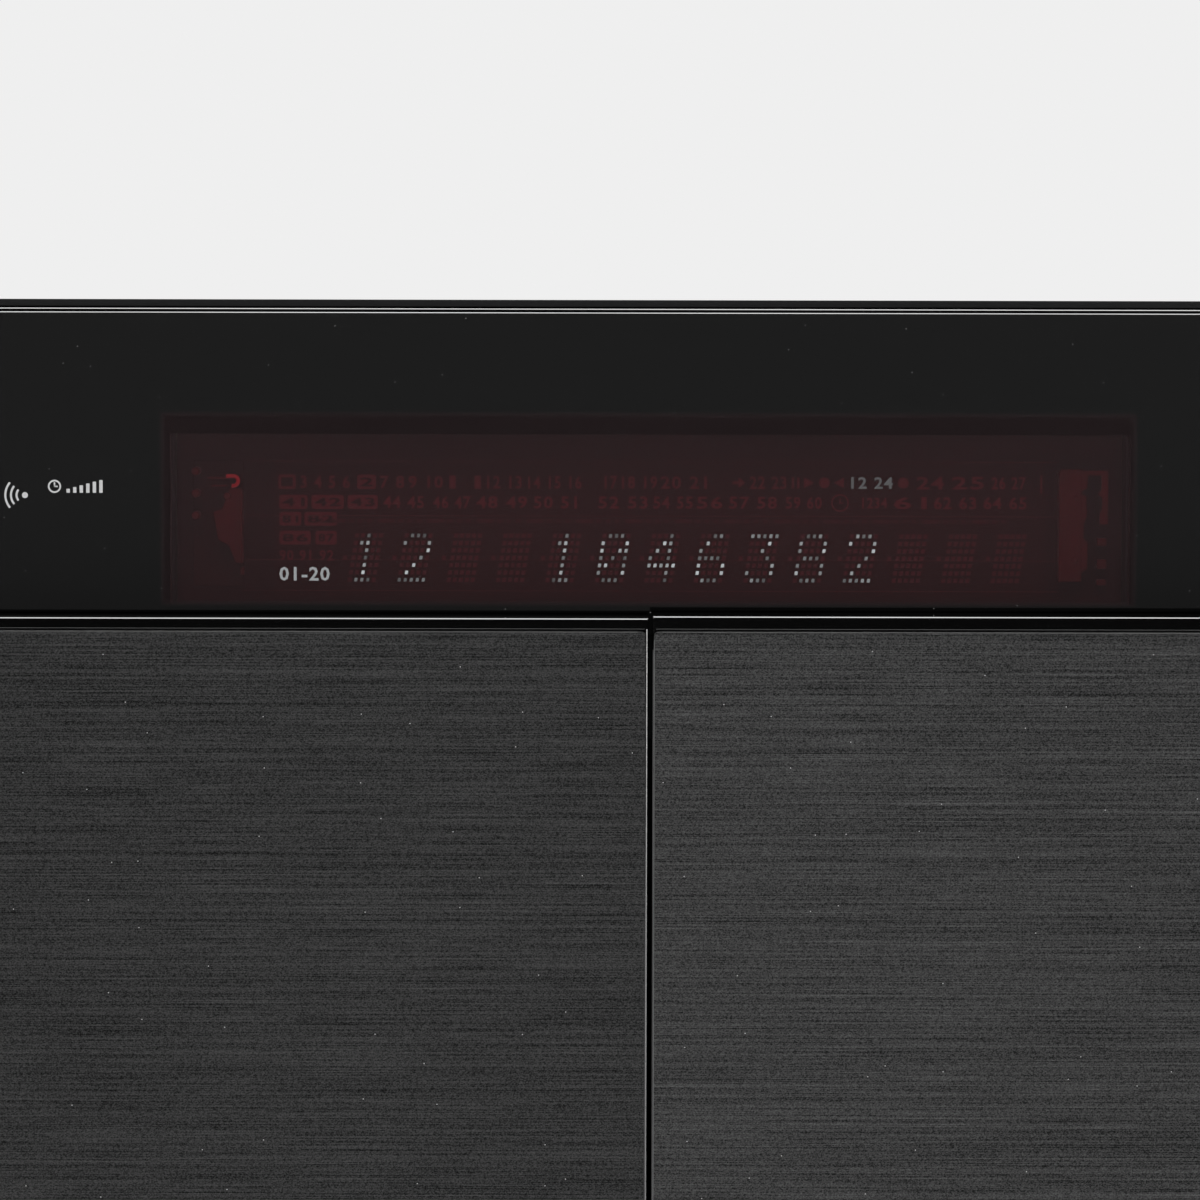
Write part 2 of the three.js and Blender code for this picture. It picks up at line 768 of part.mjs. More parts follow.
const doorPlate = () => {
  const radius = doorRecessRadius - doorPlateFit;
  const outline = rectangle(grow(plateX, -doorPlateFit), grow(plateZ, -doorPlateFit), radius);
  return fromFront(outline, [doorFace, plateSeat]);
};

// The part of a carrier that runs on a rail and reaches through the frame to the door
const railShoe = (z, depth) => {
  const y = from(carriageY[0], depth);
  const body = box(carriageX, y, span(z, carriageHeight));
  const stem = box(carriageX, [doorBack, y[0] + carriageDepth / 4], span(z, stemThickness));
  const bore = fromSide(circle(railY, z, railRadius + railClearance), grow(carriageX, overrun));
  return cut(joined(body, stem), bore);
};

const rackReach = doorTravel + rackOvertravel;
const rackRoot = carriageX[0] + rackOvertravel;

const rightCarrier = () => {
  const barBack = carriageY[1] + levelGap;
  const toothed = rack(-rackReach, rackRoot, barBack, frontPitchLine, gearModule, 0);
  const shoe = railShoe(upperRailZ, carriageDepth + levelGap + rackBacking);
  return joined(shoe, fromAbove(toothed, rackZ));
};

const leftCarrier = () => {
  const barBack = rearPitchLine + toothHeight + rackBacking;
  const toothed = rack(-rackRoot, rackReach, barBack, rearPitchLine, gearModule, 0);
  const x = [-carriageX[1], -carriageX[0]];
  const bridge = box(x, [carriageY[1] - carriageDepth / 4, barBack], stemZ);
  const riser = box(x, [barBack - rackBacking, barBack], [rackZ[0], stemZ[1]]);
  return joined(mirrored(railShoe(upperRailZ, carriageDepth)), bridge, riser, fromAbove(toothed, rackZ));
};

const doorRail = (z) => {
  const reach = halfWidth - frameRimThickness - seatGap;
  return fromSide(circle(railY, z, railRadius), [-reach, reach]);
};

const doorPinion = () => {
  const z = [wheelZ[0], rackZ[1]];
  const wheel = fromAbove(gear(0, pinionY, wheelTeeth, gearModule, Math.PI / 2), wheelZ);
  const small = fromAbove(gear(0, pinionY, pinionTeeth, gearModule, Math.PI / 2), z);
  return cut(joined(wheel, small), pin(0, pinionY, axleRadius + railClearance, grow(z, overrun)));
};

const doorMotor = () => {
  const bottom = shelfTop - linerWall - doorMotorLength;
  const body = pin(0, doorMotorY, doorMotorRadius, from(bottom, doorMotorLength));
  return joined(body, pin(0, doorMotorY, motorShaftRadius, [bottom + doorMotorLength / 2, wheelZ[1]]));
};

const doorMotorPinion = () => {
  const firstTooth = -Math.PI / 2 + Math.PI / motorPinionTeeth;
  const z = [wheelZ[0], wheelZ[1] + levelGap];
  const teeth = fromAbove(gear(0, doorMotorY, motorPinionTeeth, gearModule, firstTooth), z);
  return cut(teeth, pin(0, doorMotorY, motorShaftRadius + seatGap, grow(wheelZ, overrun)));
};

// Recess behind the doors
const keyBoardY = from(linerBack + keyBoardStand, boardThickness);
const keyBoardX = grow(bayX, -linerWall);
const keyBoardZ = [bayZ[0], bayZ[1] - doorMotorLength - keyBoardMotorGap];
const keyPitch = (keyBoardZ[1] - keyBoardZ[0]) / keyRows;
const keyColumn = (cradleWidth / 2 + bayX[1]) / 2;
const [lowRow, middleRow, highRow] = spread(keyRows, keyPitch).map((offset) => middleOf(keyBoardZ) + offset);
const keys = {
  play_key: [-keyColumn, highRow],
  stop_key: [-keyColumn, middleRow],
  skip_key: [-keyColumn, lowRow],
  source_key: [keyColumn, lowRow],
};
const knobX = keyColumn;
const knobZ = keyBoardZ[1] - keyPitch;

const keyOutline = ([x, z], by = 0) =>
  rectangle(grow(span(x, keyWidth), by), grow(span(z, keyHeight), by), keyCornerRadius + by);

const bayLiner = () => {
  const outer = box(grow(bayX, linerWall), [frameBack, linerBack], grow(bayZ, linerWall));
  const inner = box(bayX, [frameBack - overrun, linerBackInside], bayZ);
  const shelfX = span(0, 2 * (doorMotorRadius + motorShelfReach));
  const shelfZ = upTo(shelfTop, linerWall);
  const shelf = box(shelfX, [frameBack, shelfBack], shelfZ);
  const axle = pin(0, pinionY, axleRadius, [shelfTop - linerWall / 2, stemZ[0]]);
  const wallY = grow([linerBackInside, linerBack], overrun);
  const holes = Object.values(keys).map((at) => fromFront(keyOutline(at, keyClearance), wallY));
  const shaftHole = fromFront(circle(knobX, knobZ, knobShaftRadius + keyClearance), wallY);
  const motorHole = pin(0, doorMotorY, motorShaftRadius + seatGap, grow(shelfZ, overrun));
  const postX = cradleWidth / 2 - bossInset;
  const postY = [linerBack - linerWall / 2, keyBoardY[0]];
  const posts = [-postX, postX].flatMap((x) =>
    grow(keyBoardZ, -bossInset).map((z) => fromFront(circle(x, z, bossRadius), postY)));
  return joined(cut(joined(outer, shelf), inner, ...holes, shaftHole, motorHole), axle, ...posts);
};

const keyBoard = () => {
  const top = linerBack + keyClearance + keyFlange + keyTravel + switchGap;
  const switches = Object.values(keys).map(([x, z]) =>
    box(span(x, switchSize), [top, keyBoardY[1]], span(z, switchSize)));
  const encoderY = [linerBack + seatGap, keyBoardY[1]];
  const encoder = box(span(knobX, encoderSize), encoderY, span(knobZ, encoderSize));
  const shaft = fromFront(circle(knobX, knobZ, knobShaftRadius), [linerBack - linerWall / 2, keyBoardY[1]]);
  return joined(box(keyBoardX, keyBoardY, keyBoardZ), ...switches, encoder, shaft);
};

const bayKey = (at) => {
  const cap = fromFront(keyOutline(at), [linerBackInside - keyProud, linerBack + keyClearance + keyFlange]);
  return joined(cap, fromFront(keyOutline(at, keyFlange), from(linerBack + keyClearance, keyFlange)));
};

const volumeKnob = () => {
  const y = upTo(linerBackInside - seatGap, knobLength);
  const points = [];
  for (let i = 0; i < 2 * knobGripCount; i += 1) {
    const angle = Math.PI * i / knobGripCount;
    const radius = knobRadius - (i % 2) * knobGripDepth;
    points.push([knobX + radius * Math.cos(angle), knobZ + radius * Math.sin(angle)]);
  }
  const stubY = [y[1] - knobLength / 2, linerBack - linerWall / 2 - seatGap];
  const stub = fromFront(circle(knobX, knobZ, knobShaftRadius), stubY);
  return joined(fromFront(polygon(points), y), stub);
};

const dockCradle = () => {
  const y = upTo(linerBackInside - seatGap, cradleDepth);
  const z = from(bayZ[0], cradleHeight);
  const body = fromAbove(rectangle(span(0, cradleWidth), y, cradleCornerRadius), z);
  const pocketY = span(middleOf(y), cradlePocketLength);
  const pocket = box(span(0, cradlePocketWidth), pocketY, [z[1] - cradlePocketDepth, z[1] + overrun]);
  const plugZ = [z[0], z[1] - cradlePocketDepth + plugHeight];
  const plug = box(span(0, plugWidth), span(middleOf(y), plugThickness), plugZ);
  return joined(cut(body, pocket), plug);
};

// Lower fascia and what it holds
const lowerFascia = () => {
  const x = grow(span(0, unitWidth), -panelSideInset);
  const outline = rectangle(x, fasciaZ, fasciaCornerRadius);
  const holes = [rectangle(...trayHole), ...roundHoles(), usbHole()];
  return pierced(fromFront, outline, [frameFace - fasciaThickness, frameFace], holes);
};

const frontButton = (x) => {
  const y = from(frameFace - fasciaThickness - buttonProud, buttonLength + buttonProud);
  const cap = fromFront(circle(x, buttonZ, buttonRadius), y);
  const flangeY = from(frameBack + keyClearance, buttonFlange);
  return joined(cap, fromFront(circle(x, buttonZ, buttonRadius + buttonFlange), flangeY));
};

const headphoneSocket = () => {
  const front = frameFace - fasciaThickness;
  const bodyY = from(frameBack, socketBodyDepth);
  const barrel = fromFront(circle(innerX, buttonZ, headphoneRadius), [front, bodyY[1]]);
  const body = box(span(innerX, headphoneBodySize), bodyY, span(buttonZ, headphoneBodySize));
  const holeY = [front - overrun, bodyY[1] - frameThickness];
  const hole = fromFront(circle(innerX, buttonZ, headphoneHoleRadius), holeY);
  return cut(joined(barrel, body), hole);
};

const usbSocket = () => {
  const x = span(-innerX, usbWidth);
  const z = span(buttonZ, usbHeight);
  const y = from(frameFace - fasciaThickness, usbDepth);
  const hollow = box(grow(x, -usbWall), [y[0] - overrun, y[1] - frameThickness], grow(z, -usbWall));
  const tongueX = grow(x, -usbWall - usbWall);
  const tongue = box(tongueX, [y[0] + frameThickness, y[1]], upTo(z[1] - usbWall, usbTongueThickness));
  const flange = rectangle(grow(x, frameThickness), grow(z, frameThickness));
  const shell = joined(box(x, y, z), fromFront(flange, [frameBack, y[1]]));
  return joined(cut(shell, hollow), tongue);
};

// Disc loader
const loaderChassis = () => {
  const [left, far] = loaderX;
  const traverseHoleX = span(0, traverseWidth + 2 * (pivotLength + sledOpeningMargin));
  const traverseHole = rectangle(traverseHoleX, grow(traverseY, sledOpeningMargin));
  const floor = pierced(fromAbove, rectangle(loaderX, loaderY), loaderFloorZ, [traverseHole]);
  const sideZ = [loaderFloorZ[0], loaderTop];
  const wall = (x) => box(x, loaderY, sideZ);
  const ledge = (x) => box(x, loaderY, ledgeZ);
  const rearWall = box(loaderX, upTo(loaderY[1], loaderWall), [loaderFloorZ[0], ledgeZ[0] - ledgeThickness]);
  const post = pin(driveX, driveY, axleRadius, [loaderFloorZ[0], trayZ[0] - seatGap]);
  const shoulder = pin(driveX, driveY, axleRadius + axleRadius, [loaderFloorZ[0], driveGearZ[0] - seatGap]);
  const legX = far - loaderLegRadius;
  const legY = [loaderY[0] + frameRimDepth + 2 * loaderLegRadius, loaderY[1] - loaderLegRadius];
  const legs = legY.flatMap((y) =>
    [-legX, legX].map((x) => pin(x, y, loaderLegRadius, [floorTop, loaderFloorZ[1]])));
  const earX = upTo(traverseWidth / 2 + seatGap + pivotLength, pivotEarThickness);
  const earY = grow(span(pivotY, 2 * pivotRadius), pivotRadius);
  const ear = cut(
    box(earX, earY, [loaderFloorZ[0], pivotZ + 2 * pivotRadius]),
    fromSide(circle(pivotY, pivotZ, pivotRadius + railClearance), [0, halfWidth]));
  const strut = box([middleOf(earX), far], earY, loaderFloorZ);
  return joined(
    floor, wall(from(left, loaderWall)), wall(upTo(far, loaderWall)),
    ledge(from(left, loaderWall + ledgeWidth)), ledge(upTo(far, loaderWall + ledgeWidth)),
    rearWall, post, shoulder, ...legs, ear, strut, mirrored(ear), mirrored(strut));
};

const discTray = () => {
  const x = span(0, trayWidth);
  const plate = box(x, trayY, trayZ);
  const recess = pin(0, discY, discRadius, [recessZ, trayZ[1] + overrun]);
  const smallRecess = pin(0, discY, smallDiscRadius, [recessZ - smallDiscRecess, trayZ[1] + overrun]);
  const slotX = span(0, traySlotWidth);
  const slot = box(slotX, [discY, trayY[1] + overrun], grow(trayZ, overrun));
  const slotEnd = pin(0, discY, traySlotWidth / 2, grow(trayZ, overrun));
  const rackEnds = [driveY - rackOvertravel, driveY + trayTravel + rackOvertravel];
  const teeth = rack(rackEnds[0], rackEnds[1], trayRackX, trayPitchLine, trayModule, driveY);
  const quarterTurn = new THREE.Matrix4().makeBasis(back, right, up.clone().negate());
  const turnedBar = extrude(teeth, trayRackThickness + trayThickness / 2).applyMatrix4(quarterTurn);
  const bar = solid(turnedBar.translate(0, 0, middleOf(trayZ)));
  return cut(joined(plate, bar), recess, smallRecess, slot, slotEnd);
};

const trayFront = () => {
  const outline = rectangle(trayFrontX, trayFrontZ, trayFrontRadius);
  return fromFront(outline, trayFrontY);
};

const driveGear = () => {
  const teeth = fromAbove(gear(driveX, driveY, driveTeeth, trayModule, 0), driveGearZ);
  return cut(teeth, pin(driveX, driveY, axleRadius + railClearance, grow(driveGearZ, overrun)));
};

const loaderMotor = () => {
  const body = pin(loaderMotorX, driveY, loaderMotorRadius, from(loaderFloorZ[1], loaderMotorHeight));
  return joined(body, pin(loaderMotorX, driveY, motorShaftRadius, [loaderFloorZ[1], driveGearZ[1]]));
};

const loaderMotorGear = () => {
  const firstTooth = Math.PI + Math.PI / loaderMotorTeeth;
  const teeth = fromAbove(gear(loaderMotorX, driveY, loaderMotorTeeth, trayModule, firstTooth), driveGearZ);
  return cut(teeth, pin(loaderMotorX, driveY, motorShaftRadius + seatGap, grow(driveGearZ, overrun)));
};

const clampBridge = () => {
  const neckHole = circle(0, discY, clampNeckRadius + seatGap + seatGap);
  return pierced(fromAbove, rectangle(loaderX, span(discY, bridgeWidth)), bridgeZ, [neckHole]);
};

const clampDisc = () => {
  const hollow = hubRadius + seatGap + seatGap;
  const hollowTop = clampBottom + clampPlate;
  return turned([
    [0, hollowTop],
    [hollow, hollowTop],
    [hollow, clampBottom],
    [clampRadius, clampBottom],
    [clampRadius, clampBottom + clampFlange],
    [clampNeckRadius, hollowTop],
    [clampNeckRadius, bridgeZ[1] + seatGap],
    [clampFlangeRadius, bridgeZ[1] + seatGap],
    [clampFlangeRadius, bridgeZ[1] + seatGap + clampFlange],
    [0, bridgeZ[1] + seatGap + clampFlange],
  ]).translate([0, discY, 0]);
};

const turntable = () => turned([
  [spindleRadius + seatGap, traverseZ[1] + seatGap],
  [turntableBossRadius, traverseZ[1] + seatGap],
  [turntableBossRadius, turntableTop - turntableRim],
  [turntableRadius, turntableTop - turntableRim],
  [turntableRadius, turntableTop],
  [hubRadius, turntableTop],
  [hubTopRadius, turntableTop + hubHeight],
  [0, turntableTop + hubHeight],
  [0, turntableTop - turntableRim],
  [spindleRadius + seatGap, turntableTop - turntableRim],
  [spindleRadius + seatGap, traverseZ[1] + seatGap],
]).translate([0, discY, 0]);

const guideX = sledWidth / 2 - guideBlock;
const guideZ = middleOf(sledZ);

const traverse = () => {
  const outline = rectangle(span(0, traverseWidth), traverseY, guideBlock);
  const openingY = [sledY[0] - sledOpeningMargin, sledY[1] + sledTravel + sledOpeningMargin];
  const opening = rectangle(grow(span(0, sledWidth), sledOpeningMargin - guideBlock), openingY);
  const plate = pierced(fromAbove, outline, traverseZ, [opening]);
  const ends = [upTo(openingY[0], guideBlock), from(openingY[1], guideBlock)].map((y) =>
    box(span(0, sledWidth), y, [traverseZ[0], sledZ[1]]));
  const rodY = [openingY[0] - guideBlock / 2, openingY[1] + guideBlock / 2];
  const rods = [-guideX, guideX].map((x) => fromFront(circle(x, guideZ, guideRadius), rodY));
  const can = pin(0, discY, spindleMotorRadius, [traverseZ[0] - spindleMotorHeight, traverseZ[1]]);
  const spindle = pin(0, discY, spindleRadius, [traverseZ[0], turntableTop - turntableRim - seatGap]);
  const pivotReach = traverseWidth / 2 + pivotLength;
  const pivots = fromSide(circle(pivotY, pivotZ, pivotRadius), [-pivotReach, pivotReach]);
  return joined(plate, ...ends, ...rods, can, spindle, pivots);
};

const pickupSled = () => {
  const body = box(span(0, sledWidth), sledY, sledZ);
  const boreY = grow(sledY, overrun);
  const boreRadius = guideRadius + railClearance;
  const bores = [-guideX, guideX].map((x) => fromFront(circle(x, guideZ, boreRadius), boreY));
  const wellX = grow(span(0, sledWidth), -guideBlock - guideBlock);
  const well = box(wellX, sledY, [traverseZ[0], sledZ[0] + guideRadius]);
  const lens = pin(0, middleOf(sledY), lensRadius, [sledZ[1] - guideRadius, sledZ[1] + lensRise]);
  return cut(joined(body, well, lens), ...bores);
};

// Electronics
const heatSink = () => {
  const x = span(middleOf(mainBoardX), sinkWidth);
  const baseY = from(mainBoardY[1] - sinkRearInset - sinkFinLength - sinkBase, sinkBase);
  const z = from(mainBoardZ[1], sinkHeight);
  const pitch = (sinkWidth - sinkFinThickness) / (sinkFinCount - 1);
  const fins = spread(sinkFinCount, pitch).map((offset) =>
    box(span(middleOf(x) + offset, sinkFinThickness), [baseY[0], baseY[1] + sinkFinLength], z));
  return joined(box(x, baseY, z), ...fins);
};

const powerTransformer = () => {
  const x = transformerX;
  const y = upTo(rearInside - transformerForward, transformerDepth);
  const z = from(floorTop, transformerHeight);
  const windowX = (transformerWidth / 2 - coilWindow) / 2;
  const windowZ = grow(z, -coilWindow);
  const windows = [-1, 1].map((side) =>
    rectangle(span(middleOf(x) + side * (windowX + coilWindow / 2), windowX), windowZ));
  const core = pierced(fromFront, rectangle(x, z), y, windows);
  const coil = box(grow(x, -coilWindow), grow(y, coilBulge), grow(z, -coilWindow));
  const flange = box(grow(x, bracketFoot), grow(y, -coilBulge), from(floorTop, bracketThickness));
  return joined(core, coil, flange);
};

const fanFrame = () => {
  const outline = rectangle(span(fanX, fanSize), span(fanZ, fanSize), fanCornerRadius);
  const shroud = pierced(fromFront, outline, fanY, [circle(fanX, fanZ, fanBoreRadius, fineSides)]);
  const strutY = from(fanY[0], fanStrutThickness);
  const hub = fromFront(circle(fanX, fanZ, fanHubRadius), strutY);
  const across = box(span(fanX, 2 * fanBoreRadius + fanTipGap), strutY, span(fanZ, fanStrutWidth));
  const upright = box(span(fanX, fanStrutWidth), strutY, span(fanZ, 2 * fanBoreRadius + fanTipGap));
  const pinY = [fanY[0], fanY[1] - fanStrutThickness];
  return joined(shroud, hub, across, upright, fromFront(circle(fanX, fanZ, fanPinRadius), pinY));
};

const fanRotor = () => {
  const y = [fanY[0] + fanStrutThickness + seatGap, fanY[1] - fanTipGap];
  const hub = fromFront(circle(fanX, fanZ, fanHubRadius), y);
  const boreY = [y[0] - overrun, fanY[1] - fanStrutThickness + seatGap];
  const bore = fromFront(circle(fanX, fanZ, fanPinRadius + railClearance), boreY);
  const reach = fanBoreRadius - fanTipGap;
  const twist = Math.atan2(fanBladePitch, reach);
  const blades = [];
  for (let i = 0; i < fanBladeCount; i += 1) {
    const blade = box([fanHubRadius / 2, reach], span(0, y[1] - y[0]), span(0, fanBladeThickness));
    const turn = 360 * i / fanBladeCount;
    const tilted = blade.rotate([THREE.MathUtils.radToDeg(twist), 0, 0]).rotate([0, turn, 0]);
    blades.push(tilted.translate([fanX, middleOf(y), fanZ]));
  }
  const room = fromFront(circle(fanX, fanZ, reach, fineSides), y);
  return cut(joined(hub, joined(...blades).intersect(room)), bore);
};

const speakerTerminals = () => {
  const y = [rearInside - speakerBlockInside, rearFace + speakerBlockReach];
  const body = fromFront(rectangle(speakerX, speakerZ), y);
  const lip = rectangle(grow(speakerX, inletLip), grow(speakerZ, inletLip));
  const flange = fromFront(lip, from(rearFace, inletFlange));
  const slotY = [y[0] + inletFlange, y[1] + overrun];
  const rows = spread(speakerRowCount, 2 * speakerSlotHeight).map((offset) =>
    span(middleOf(speakerZ) + offset, speakerSlotHeight));
  const slots = spread(speakerSlotCount, speakerSlotPitch).flatMap((offset) =>
    rows.map((z) => box(span(middleOf(speakerX) + offset, speakerSlotWidth), slotY, z)));
  return cut(joined(body, flange), ...slots);
};

const inputSockets = () => {
  const plate = fromFront(rectangle(inputX, inputZ), from(rearFace, inputPlateThickness));
  const bodyX = grow(inputX, -inputPlateThickness - seatGap);
  const bodyZ = grow(inputZ, -inputPlateThickness - seatGap);
  const body = box(bodyX, [rearInside - inputBodyDepth, rearFace + inputPlateThickness / 2], bodyZ);
  const centres = spread(inputCount, inputPitch).map((offset) => middleOf(inputX) + offset);
  const z = middleOf(inputZ);
  const barrels = centres.flatMap((x) => [
    fromFront(circle(x, z, phonoRadius), [rearFace, rearFace + rearSocketReach]),
    fromFront(circle(x, z, phonoFlangeRadius), from(rearFace + inputPlateThickness / 2, phonoFlange))]);
  const holes = centres.map((x) =>
    fromFront(circle(x, z, phonoHoleRadius), [rearInside, rearFace + rearSocketReach + overrun]));
  return cut(joined(plate, body, ...barrels), ...holes);
};

const mainsInlet = () => {
  const y = [rearFace + inletFlange - inletDepth, rearFace + inletFlange];
  const body = fromFront(rectangle(inletX, inletZ), y);
  const lip = rectangle(grow(inletX, inletLip), grow(inletZ, inletLip));
  const flange = fromFront(lip, from(rearFace, inletFlange));
  const x = middleOf(inletX);
  const radius = inletSocketHeight / 2 - seatGap;
  const outline = rectangle(span(x, inletSocketWidth), span(inletRise, inletSocketHeight), radius);
  const hollow = fromFront(outline, [y[1] - inletSocketDepth, y[1] + overrun]);
  const pinY = [y[0] + inletFlange, y[1] - inletSocketDepth + inletPinLength];
  const pins = [-inletPinPitch / 2, inletPinPitch / 2].map((offset) =>
    fromFront(circle(x + offset, inletRise, inletPinRadius), pinY));
  return joined(cut(joined(body, flange), hollow), ...pins);
};

// Assembly
place('bottom_chassis', bottomChassis(), finishes.steel());
place('top_cover', topCover(), finishes.cover());
place('rear_panel', rearPanel(), finishes.cover());
for (const [name, [x, y]] of Object.entries(footPlaces())) {
  place(`foot_${name}`, foot().translate([x, y, 0]), finishes.rubber());
}
place('front_frame', frontFrame(), finishes.black());
place('display_panel', displayPanel(), finishes.gloss());
place('display_tube_glass', tubeGlass(), finishes.glass());
place('display_tube_base', tubeBase(), finishes.glass());
place('display_holder', displayHolder(), finishes.black());
place('display_board', displayBoard(), finishes.board());

const sides = { right: (piece) => piece, left: mirrored };
for (const [side, turn] of Object.entries(sides)) {
  place(`door_${side}_cover`, turn(doorCover()), finishes.gloss());
  place(`door_${side}_plate`, turn(doorPlate()), finishes.brushed());
  place(`door_${side}_shoe`, turn(railShoe(lowerRailZ, carriageDepth)), finishes.white());
}
place('door_right_carrier', rightCarrier(), finishes.white());
place('door_left_carrier', leftCarrier(), finishes.white());
place('door_rail_upper', doorRail(upperRailZ), finishes.steel());
place('door_rail_lower', doorRail(lowerRailZ), finishes.steel());
place('door_pinion', doorPinion(), finishes.white());
place('door_motor', doorMotor(), finishes.steel());
place('door_motor_pinion', doorMotorPinion(), finishes.white());

place('bay_liner', bayLiner(), finishes.black());
place('key_board', keyBoard(), finishes.board());
for (const [name, at] of Object.entries(keys)) {
  place(name, bayKey(at), finishes.gloss());
}
place('volume_knob', volumeKnob(), finishes.brushed());
place('dock_cradle', dockCradle(), finishes.black());

place('lower_fascia', lowerFascia(), finishes.gloss());
place('power_button', frontButton(outerX), finishes.brushed());
place('tray_button', frontButton(-outerX), finishes.brushed());
place('headphone_socket', headphoneSocket(), finishes.steel());
place('usb_socket', usbSocket(), finishes.steel());

place('loader_chassis', loaderChassis(), finishes.black());
place('disc_tray', discTray(), finishes.black());
place('tray_front', trayFront(), finishes.gloss());
place('tray_drive_gear', driveGear(), finishes.white());
place('loader_motor', loaderMotor(), finishes.steel());
place('loader_motor_gear', loaderMotorGear(), finishes.white());
place('clamp_bridge', clampBridge(), finishes.steel());
place('clamp_disc', clampDisc(), finishes.black());
place('traverse', traverse(), finishes.black());
place('turntable', turntable(), finishes.white());
place('pickup_sled', pickupSled(), finishes.steel());

place('main_board', box(mainBoardX, mainBoardY, mainBoardZ), finishes.board());
place('heat_sink', heatSink(), finishes.steel());
place('power_transformer', powerTransformer(), finishes.copper());
place('fan_frame', fanFrame(), finishes.black());
place('fan_rotor', fanRotor(), finishes.black());
place('speaker_terminals', speakerTerminals(), finishes.black());
place('input_sockets', inputSockets(), finishes.white());
place('mains_inlet', mainsInlet(), finishes.black());

export default stereo;
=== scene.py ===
import math
import random

import bmesh
import bpy
from mathutils import Matrix, Vector


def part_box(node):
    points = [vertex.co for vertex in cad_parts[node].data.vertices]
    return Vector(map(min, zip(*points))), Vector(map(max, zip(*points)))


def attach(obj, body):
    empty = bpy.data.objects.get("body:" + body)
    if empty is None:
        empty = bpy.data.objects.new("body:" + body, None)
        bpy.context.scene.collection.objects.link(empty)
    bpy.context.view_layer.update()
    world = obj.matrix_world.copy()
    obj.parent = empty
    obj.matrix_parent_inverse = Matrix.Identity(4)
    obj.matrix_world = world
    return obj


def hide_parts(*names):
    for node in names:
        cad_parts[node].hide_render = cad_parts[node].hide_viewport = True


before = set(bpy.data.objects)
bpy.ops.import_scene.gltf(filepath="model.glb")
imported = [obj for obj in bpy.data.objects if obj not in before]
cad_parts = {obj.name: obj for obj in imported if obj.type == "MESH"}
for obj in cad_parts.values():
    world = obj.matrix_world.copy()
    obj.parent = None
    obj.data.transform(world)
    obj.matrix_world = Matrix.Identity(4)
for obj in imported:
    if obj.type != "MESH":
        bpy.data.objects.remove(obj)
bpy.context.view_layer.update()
scene = bpy.context.scene
mm = 0.001
print("frame loaded,", len(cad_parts), "nodes")


# Spans are (low, high) in millimetres
def middle(span):
    return sum(span) / 2


def around(centre, half):
    return centre - half, centre + half


def limits(node):
    low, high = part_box(node)
    return [(low[i] / mm, high[i] / mm) for i in range(3)]


# Shader maths: a socket that can stand in a sum
class Signal:
    def __init__(self, shade, socket):
        self.shade = shade
        self.socket = socket

    def math(self, operation, first, second=0.0):
        return self.shade.node("Math", {"operation": operation}, {0: first, 1: second})

    def __add__(self, other):
        return self.math("ADD", self, other)

    def __sub__(self, other):
        return self.math("SUBTRACT", self, other)

    def __rsub__(self, other):
        return self.math("SUBTRACT", other, self)

    def __mul__(self, other):
        return self.math("MULTIPLY", self, other)

    def size(self):
        return self.math("ABSOLUTE", self)

    def above(self, limit):
        return self.math("GREATER_THAN", self, limit)

    def atLeast(self, limit):
        return self.math("MAXIMUM", self, limit)

    def fade(self, start, end, low=0.0, high=1.0):
        values = {"Value": self, "From Min": start, "From Max": end, "To Min": low, "To Max": high}
        return self.shade.node("MapRange", {"interpolation_type": "SMOOTHSTEP"}, values)


# A node tree and short ways to fill it
class Shade:
    def __init__(self, owner):
        owner.use_nodes = True
        self.tree = owner.node_tree

    def feed(self, socket, value):
        if isinstance(value, Signal):
            self.tree.links.new(value.socket, socket)
        else:
            socket.default_value = value

    def node(self, kind, settings, values, result=0):
        made = self.tree.nodes.new("ShaderNode" + kind)
        for name, value in settings.items():
            setattr(made, name, value)
        for key, value in values.items():
            self.feed(made.inputs[key], value)
        return Signal(self, made.outputs[result])

    def split(self, vector):
        return [self.node("SeparateXYZ", {}, {"Vector": vector}, axis) for axis in "XYZ"]

    def blend(self, share, first, second):
        return self.node("Mix", {"data_type": "RGBA"}, {0: share, 6: first, 7: second}, 2)


# One finish: a material that feeds the standard shader
class Paint(Shade):
    def __init__(self, name, slot, fixed):
        self.material = bpy.data.materials.new(name)
        super().__init__(self.material)
        self.slot = slot
        self.shader = self.tree.nodes["Principled BSDF"]
        for socket, value in fixed.items():
            self.put(socket, value)

    def put(self, socket, value):
        self.feed(self.shader.inputs[socket], value)

    def place(self):
        return self.node("TexCoord", {}, {}, "Object")

    def axes(self):
        return [part * 1000 for part in self.split(self.place())]

    # Noise with spots of a width in millimetres, drawn out along X by a factor
    def grain(self, width, detail=2.0, rough=0.5, along=1, shift=0.0):
        scale = (1000 / (width * along), 1000 / width, 1000 / width)
        values = {"Vector": self.place(), "Location": (shift, shift, shift), "Scale": scale}
        spot = self.node("Mapping", {}, values)
        values = {"Vector": spot, "Scale": 1.0, "Detail": detail, "Roughness": rough}
        return self.node("TexNoise", {}, values)

    def cells(self, width):
        return self.node("TexVoronoi", {}, {"Vector": self.place(), "Scale": 1000 / width})

    def specks(self, width, radius):
        x, y, z = self.axes()
        values = {"Vector": self.node("CombineXYZ", {}, {"X": x, "Y": z}), "Scale": 1 / width}
        cell = self.node("TexVoronoi", {"voronoi_dimensions": "2D"}, values)
        return cell.fade(0.6 * radius / width, radius / width, 1.0, 0.0)

    def relief(self, height, depth):
        values = {"Height": height, "Distance": depth * mm}
        self.put("Normal", self.node("Bump", {}, values, "Normal"))


